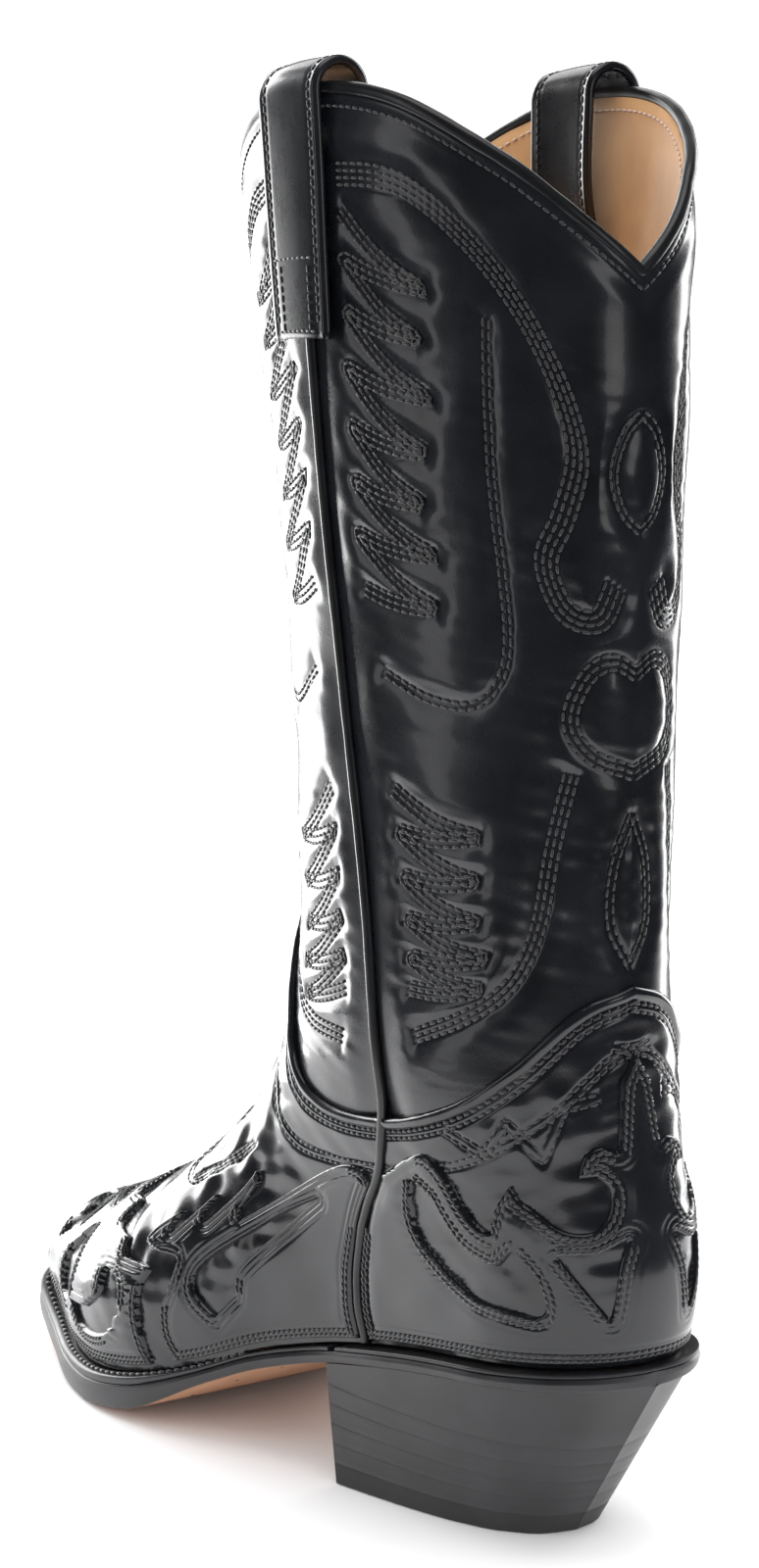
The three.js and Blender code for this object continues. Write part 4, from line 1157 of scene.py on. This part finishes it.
def outline_point(c, beyond):
    """A point on the plan outline, so far outside the vamp at its lower edge."""
    point, normal, _ = look_up(c, np.zeros(np.shape(c)))
    flat = unit(normal * [1, 1, 0])
    return point + flat * np.asarray(FOOT_DEPTHS[0] - FOOT_TUCK + beyond)[..., None]


def welt_strip(name, start, end, count):
    c = np.linspace(start, end, count)
    edge = sole_edge(c)
    # Across the strip: how far out, where 0 is under the upper and 1 the outer edge, and the
    # share of the way down.
    profile = [(0, 0, 0), (1, 0, -1.3), (1, 0.06, -0.5), (1, 0.2, -0.1), (1, 0.45, 0), (1, 0.8, 0),
               (1, 1, -0.35), (0, 1, 0)]
    sections = []
    for outer, down, nudge in profile:
        point = outline_point(c, edge + nudge if outer else np.full_like(c, -6.0))
        point[:, 2] = sole_z(point[:, 1]) - 0.35 - down * (welt_thick(point[:, 1]) - 0.4)
        sections.append(point)
    strip = flipped(rings(name, np.stack(sections, 1), [EDGE_BLACK], slot="sole_edge", replaces=[name]))
    sharp_at(strip, 50)


def welt_stitches():
    c = np.linspace(-0.40, 0.40, 2400)
    row = outline_point(c, sole_edge(c) * 0.5)
    row[:, 2] = sole_z(row[:, 1]) - 0.2
    run = run_along(row)
    at = np.arange(0, run[-1], 3.5)
    places = np.stack([np.interp(at, run, row[:, k]) for k in range(3)], -1)
    tangents = unit(np.gradient(places, axis=0))
    normals = np.tile([0.0, 0.0, 1.0], (len(places), 1))
    sew("welt_stitching", places, tangents, normals, 3.0, 0.85, THREAD_BLACK, "sole_edge", flat=0.7)


def outsole_low(y, centred):
    crown = 2 * waist(y) * (1 - smooth(15, 38, y)) * (1 - centred**3)
    return np.maximum(sole_z(y) - edge_thick(y) - crown, 0)


def outsole():
    count = 260
    c = (1 - np.cos(np.linspace(0.02, math.pi - 0.02, count))) / 2
    left, right = outline_point(c, sole_edge(c)), outline_point(-c, sole_edge(c))
    span = right - left
    width = np.linalg.norm(span[:, :2], axis=1)
    radius_low, radius_high = 1.5, 0.8
    near_edge = np.array([0, 0.08, 0.22, 0.42, 0.7, 1.0]) * radius_low
    inner = np.linspace(0, 1, 15)[1:-1]

    def across(distances, height, radius, sign):
        """Points across the sole at distances from its edge, rounded off near it."""
        points = []
        for share in distances:
            point = left + span * share[:, None]
            from_edge = np.minimum(share, 1 - share) * width
            centred = np.abs(2 * share - 1)
            fall = radius * (1 - quarter(from_edge / radius))
            point[:, 2] = height(point[:, 1], centred) + sign * fall
            points.append(point)
        return points

    edge_shares = [np.minimum(e / width, 0.5) for e in near_edge]
    middle = [mix(edge_shares[-1], 1 - edge_shares[-1], k) for k in inner]
    shares = edge_shares + middle + [1 - k for k in edge_shares[::-1]]
    bottom = across(shares, outsole_low, radius_low, 1)
    top = across(shares[::-1], lambda y, _: sole_z(y) - welt_thick(y), radius_high, -1)
    outward = span / np.maximum(np.linalg.norm(span, axis=1, keepdims=True), 1e-6)
    bulge = (0.35 * smooth(0, 9, width))[:, None]
    walls = []
    for start, end, sign in ((bottom[-1], top[0], 1), (top[-1], bottom[0], -1)):
        walls.append([mix(start, end, k) + outward * sign * bulge * math.sin(math.pi * k)
                      for k in (0.25, 0.5, 0.75)])
    ring = bottom + walls[0] + top + walls[1]
    size = len(ring)
    under = set(range(len(near_edge) - 1, len(bottom) - len(near_edge)))
    face_slots = [1 if k in under else 0 for k in range(size)]
    piece = rings("outsole", np.stack(ring, 1), [EDGE_BLACK, SOLE_TAN], slot="sole_leather",
                  replaces=["outsole"], face_slots=face_slots)
    flipped(piece)


PEG_ROWS = [[22, 24], [25, 6], [29, -12], [33, -30]]
PEG_R = 0.95


def pegs():
    """The wooden pegs of the waist, with their slightly domed ends."""
    number = 1
    for half, y in PEG_ROWS:
        for side in (1, -1):
            low = float(outsole_low(np.array(y), 0.75))
            circle = ring_of(16)
            centre = np.array([side * half + TOE_SWING * (TOE_SWING_FROM - y), y, low])
            levels = [(0.45, -0.16), (0.85, -0.08), (1, 0.15), (1, 2.2)]
            sections = [centre + circle * PEG_R * r + [0, 0, z] for r, z in levels]
            name = "waist_peg_" + str(number)
            flipped(rings(name, np.stack(sections), [PEG_BROWN], slot="peg_wood", replaces=[name]))
            number += 1


def bottom():
    welt_strip("welt", -0.47, 0.47, 620)
    welt_strip("heel_rand", 0.478, 1.522, 360)
    welt_stitches()
    outsole()
    pegs()


# ---------- the heel ----------
HEEL_TOP = [
    [0, 38, 32.6], [0.12, 52, 34.2], [0.35, 80, 34.2], [0.6, 106, 32.3], [0.8, 126, 25.8],
    [0.92, 139.5, 14.8], [1, 145.3, 0],
]
HEEL_FOOT = [
    [0, 42, 31], [0.12, 54, 29.5], [0.35, 72, 26.8], [0.6, 90, 22.6], [0.8, 103, 16.8],
    [0.92, 111, 9], [1, 113.5, 0],
]
HEEL_HEIGHT = 48
TOP_LIFT = 6.3
LIFT_STEP = 6.0
LIFT_COUNT = 4
JOINT = 0.03  # how open the joint lines between the lifts are
BREAST_HOLLOW = 1.2


def heel_outline(z, inset=0.0):
    """A closed outline of the heel block; z is a number or a function of y."""
    k = np.sin(np.linspace(0, math.pi / 2, 44))
    foot, top = along(HEEL_FOOT, k), along(HEEL_TOP, k)
    share = (z if np.isscalar(z) else z(mix(foot, top, 0.9)[:, 0])) / HEEL_HEIGHT
    y, half = (mix(foot[:, m], top[:, m], share) for m in (0, 1))
    height = share * HEEL_HEIGHT + 0 * y
    middle = y.mean()
    y = middle + (y - middle) * (1 - inset / 50)
    half = half * (1 - inset / 32)
    sway = TOE_SWING * (TOE_SWING_FROM - y)
    inner = np.stack([half + sway, y, height], -1)
    outer = np.stack([sway - half, y, height], -1)[-2::-1]
    s = np.linspace(-1, 1, 15)[1:-1]
    breast = np.stack([half[0] * s + sway[0], y[0] + BREAST_HOLLOW * (1 - s**2), height[0] + 0 * s], -1)
    return np.concatenate([inner, outer, breast])


def heel_piece(name, low, high, material, slot):
    sections = [heel_outline(low, 0.05), heel_outline(low + 0.08)]
    if np.isscalar(high):
        sections += [heel_outline(mix(low + 0.08, high - 0.08, k)) for k in (0.33, 0.67, 1)]
        sections += [heel_outline(high, 0.05)]
    else:
        levels = (0.25, 0.5, 0.75, 1)
        sections += [heel_outline(lambda y, k=k: mix(low + 0.08, high(y), k)) for k in levels]
    sharp_at(flipped(rings(name, np.stack(sections), [material], slot=slot, replaces=[name])), 40)


NAILS = [[21, 50], [-21, 50], [15, 78], [-15, 78], [0, 100]]


def heel():
    heel_piece("rubber_top_lift", 0.0, TOP_LIFT, RUBBER_BLACK, "heel_rubber")
    for i in range(LIFT_COUNT):
        low = TOP_LIFT + JOINT + i * LIFT_STEP
        heel_piece("heel_lift_" + str(i + 1), low, low + LIFT_STEP - JOINT, HEEL_BLACK, "sole_edge")
    low = TOP_LIFT + JOINT + LIFT_COUNT * LIFT_STEP
    heel_piece("heel_base", low, lambda y: sole_z(y) - edge_thick(y) - JOINT, HEEL_BLACK, "sole_edge")
    circle = ring_of(20)
    for i, (x, y) in enumerate(NAILS):
        centre = np.array([x + TOE_SWING * (TOE_SWING_FROM - y), y, 0])
        levels = [(1.1, -0.12), (1.3, -0.02), (1.3, 2.0), (0.9, 10.6)]
        sections = [centre + circle * r + [0, 0, z] for r, z in levels]
        name = "heel_nail_" + str(i + 1)
        flipped(rings(name, np.stack(sections), [STEEL_GREY], slot="steel", replaces=[name]))


INNER_FINISHES = {
    "toe_puff": BOARD_TAN, "heel_stiffener": BOARD_TAN, "insole": SOLE_TAN, "sock_liner": LINING_TAN,
    "cork_filler": CORK_BROWN, "steel_shank": STEEL_GREY,
}


def inner_finishes():
    """Better materials for the CAD pieces that stay as they are."""
    for name, material in INNER_FINISHES.items():
        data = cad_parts[name].data
        data.materials.clear()
        data.materials.append(material)


# ---------- studio ----------
VIEW_AZIMUTH = math.radians(145.7)
VIEW_ELEVATION = math.radians(9.05)
VIEW_DISTANCE = 1.069
VIEW_ROLL = math.radians(-0.33)
TARGET = Vector(((np.array([0, 30, 200]) + MODEL_SHIFT) * MM).tolist())
BACK = Vector((
    math.sin(VIEW_AZIMUTH) * math.cos(VIEW_ELEVATION),
    -math.cos(VIEW_AZIMUTH) * math.cos(VIEW_ELEVATION),
    math.sin(VIEW_ELEVATION),
))
RIGHT = Vector((math.cos(VIEW_AZIMUTH), math.sin(VIEW_AZIMUTH), 0))
UP = BACK.cross(RIGHT)


def camera():
    data = bpy.data.cameras.new("camera")
    data.lens = 83.3
    data.sensor_width = 36
    data.shift_x = -0.0104
    data.shift_y = 0.0106
    data.clip_start = 0.01
    data.clip_end = 50
    eye = bpy.data.objects.new("camera", data)
    bpy.context.scene.collection.objects.link(eye)
    right = RIGHT * math.cos(VIEW_ROLL) + UP * math.sin(VIEW_ROLL)
    up = UP * math.cos(VIEW_ROLL) - RIGHT * math.sin(VIEW_ROLL)
    turn = Matrix((right, up, BACK)).transposed().to_4x4()
    eye.matrix_world = Matrix.Translation(TARGET + BACK * VIEW_DISTANCE) @ turn
    bpy.context.scene.camera = eye


def soft_box(name, place, width, height, power):
    """A large soft light that faces the boot."""
    data = bpy.data.lights.new(name, "AREA")
    data.shape = "RECTANGLE"
    data.size, data.size_y = width, height
    data.energy = power
    light = bpy.data.objects.new(name, data)
    bpy.context.scene.collection.objects.link(light)
    light.location = place
    light.rotation_mode = "QUATERNION"
    light.rotation_quaternion = (place - TARGET).to_track_quat("Z", "Y")


def studio():
    floor = bpy.data.meshes.new("floor")
    corners = [(-0.42, -0.55, 0), (0.42, -0.55, 0), (0.42, 0.42, 0), (-0.42, 0.42, 0)]
    floor.from_pydata(corners, [], [(0, 1, 2, 3)])
    material, _, _ = nodes_of("floor_white", (0.86, 0.86, 0.87), 0.7)
    floor.materials.append(material)
    plane = bpy.data.objects.new("floor", floor)
    plane.location.z = -0.0004
    bpy.context.scene.collection.objects.link(plane)
    world = bpy.data.worlds.new("studio")
    world.use_nodes = True
    nodes, links = world.node_tree.nodes, world.node_tree.links
    dark = nodes["Background"]
    dark.inputs["Color"].default_value = (0.035, 0.037, 0.042, 1)
    white = nodes.new("ShaderNodeBackground")
    white.inputs["Color"].default_value = (1, 1, 1, 1)
    white.inputs["Strength"].default_value = 1.45
    ray = nodes.new("ShaderNodeLightPath")
    both = nodes.new("ShaderNodeMixShader")
    links.new(ray.outputs["Is Glossy Ray"], both.inputs["Fac"])
    links.new(white.outputs["Background"], both.inputs[1])
    links.new(dark.outputs["Background"], both.inputs[2])
    links.new(both.outputs["Shader"], nodes["World Output"].inputs["Surface"])
    bpy.context.scene.world = world
    bpy.context.scene.view_settings.view_transform = "Standard"
    flat = Vector((BACK.x, BACK.y, 0)).normalized()
    up = Vector((0, 0, 1))
    soft_box("left_box", TARGET - RIGHT * 0.78 - flat * 1.06 + up * 0.1, 0.8, 1.4, 24)
    soft_box("right_box", TARGET + RIGHT * 0.9 - flat * 0.95 + up * 0.1, 0.4, 1.4, 11)
    soft_box("rear_box", TARGET - flat * 1.2 + up * 1.0, 1.6, 0.6, 7)
    soft_box("top_box", TARGET + up * 1.3 + flat * 0.1, 0.9, 0.9, 5)
    soft_box("side_strip", TARGET - RIGHT * 1.15 + flat * 0.35 + up * 0.15, 0.3, 1.1, 1.5)
    soft_box("front_strip", TARGET + RIGHT * 0.8 + flat * 1.0 + up * 0.3, 0.4, 0.7, 1.6)


camera()
shaft()
foot()
toe_overlay()
vamp_wing("medial_vamp_overlay", 1)
vamp_wing("lateral_vamp_overlay", -1)
heel_overlay()
trim()
bottom()
heel()
inner_finishes()
studio()
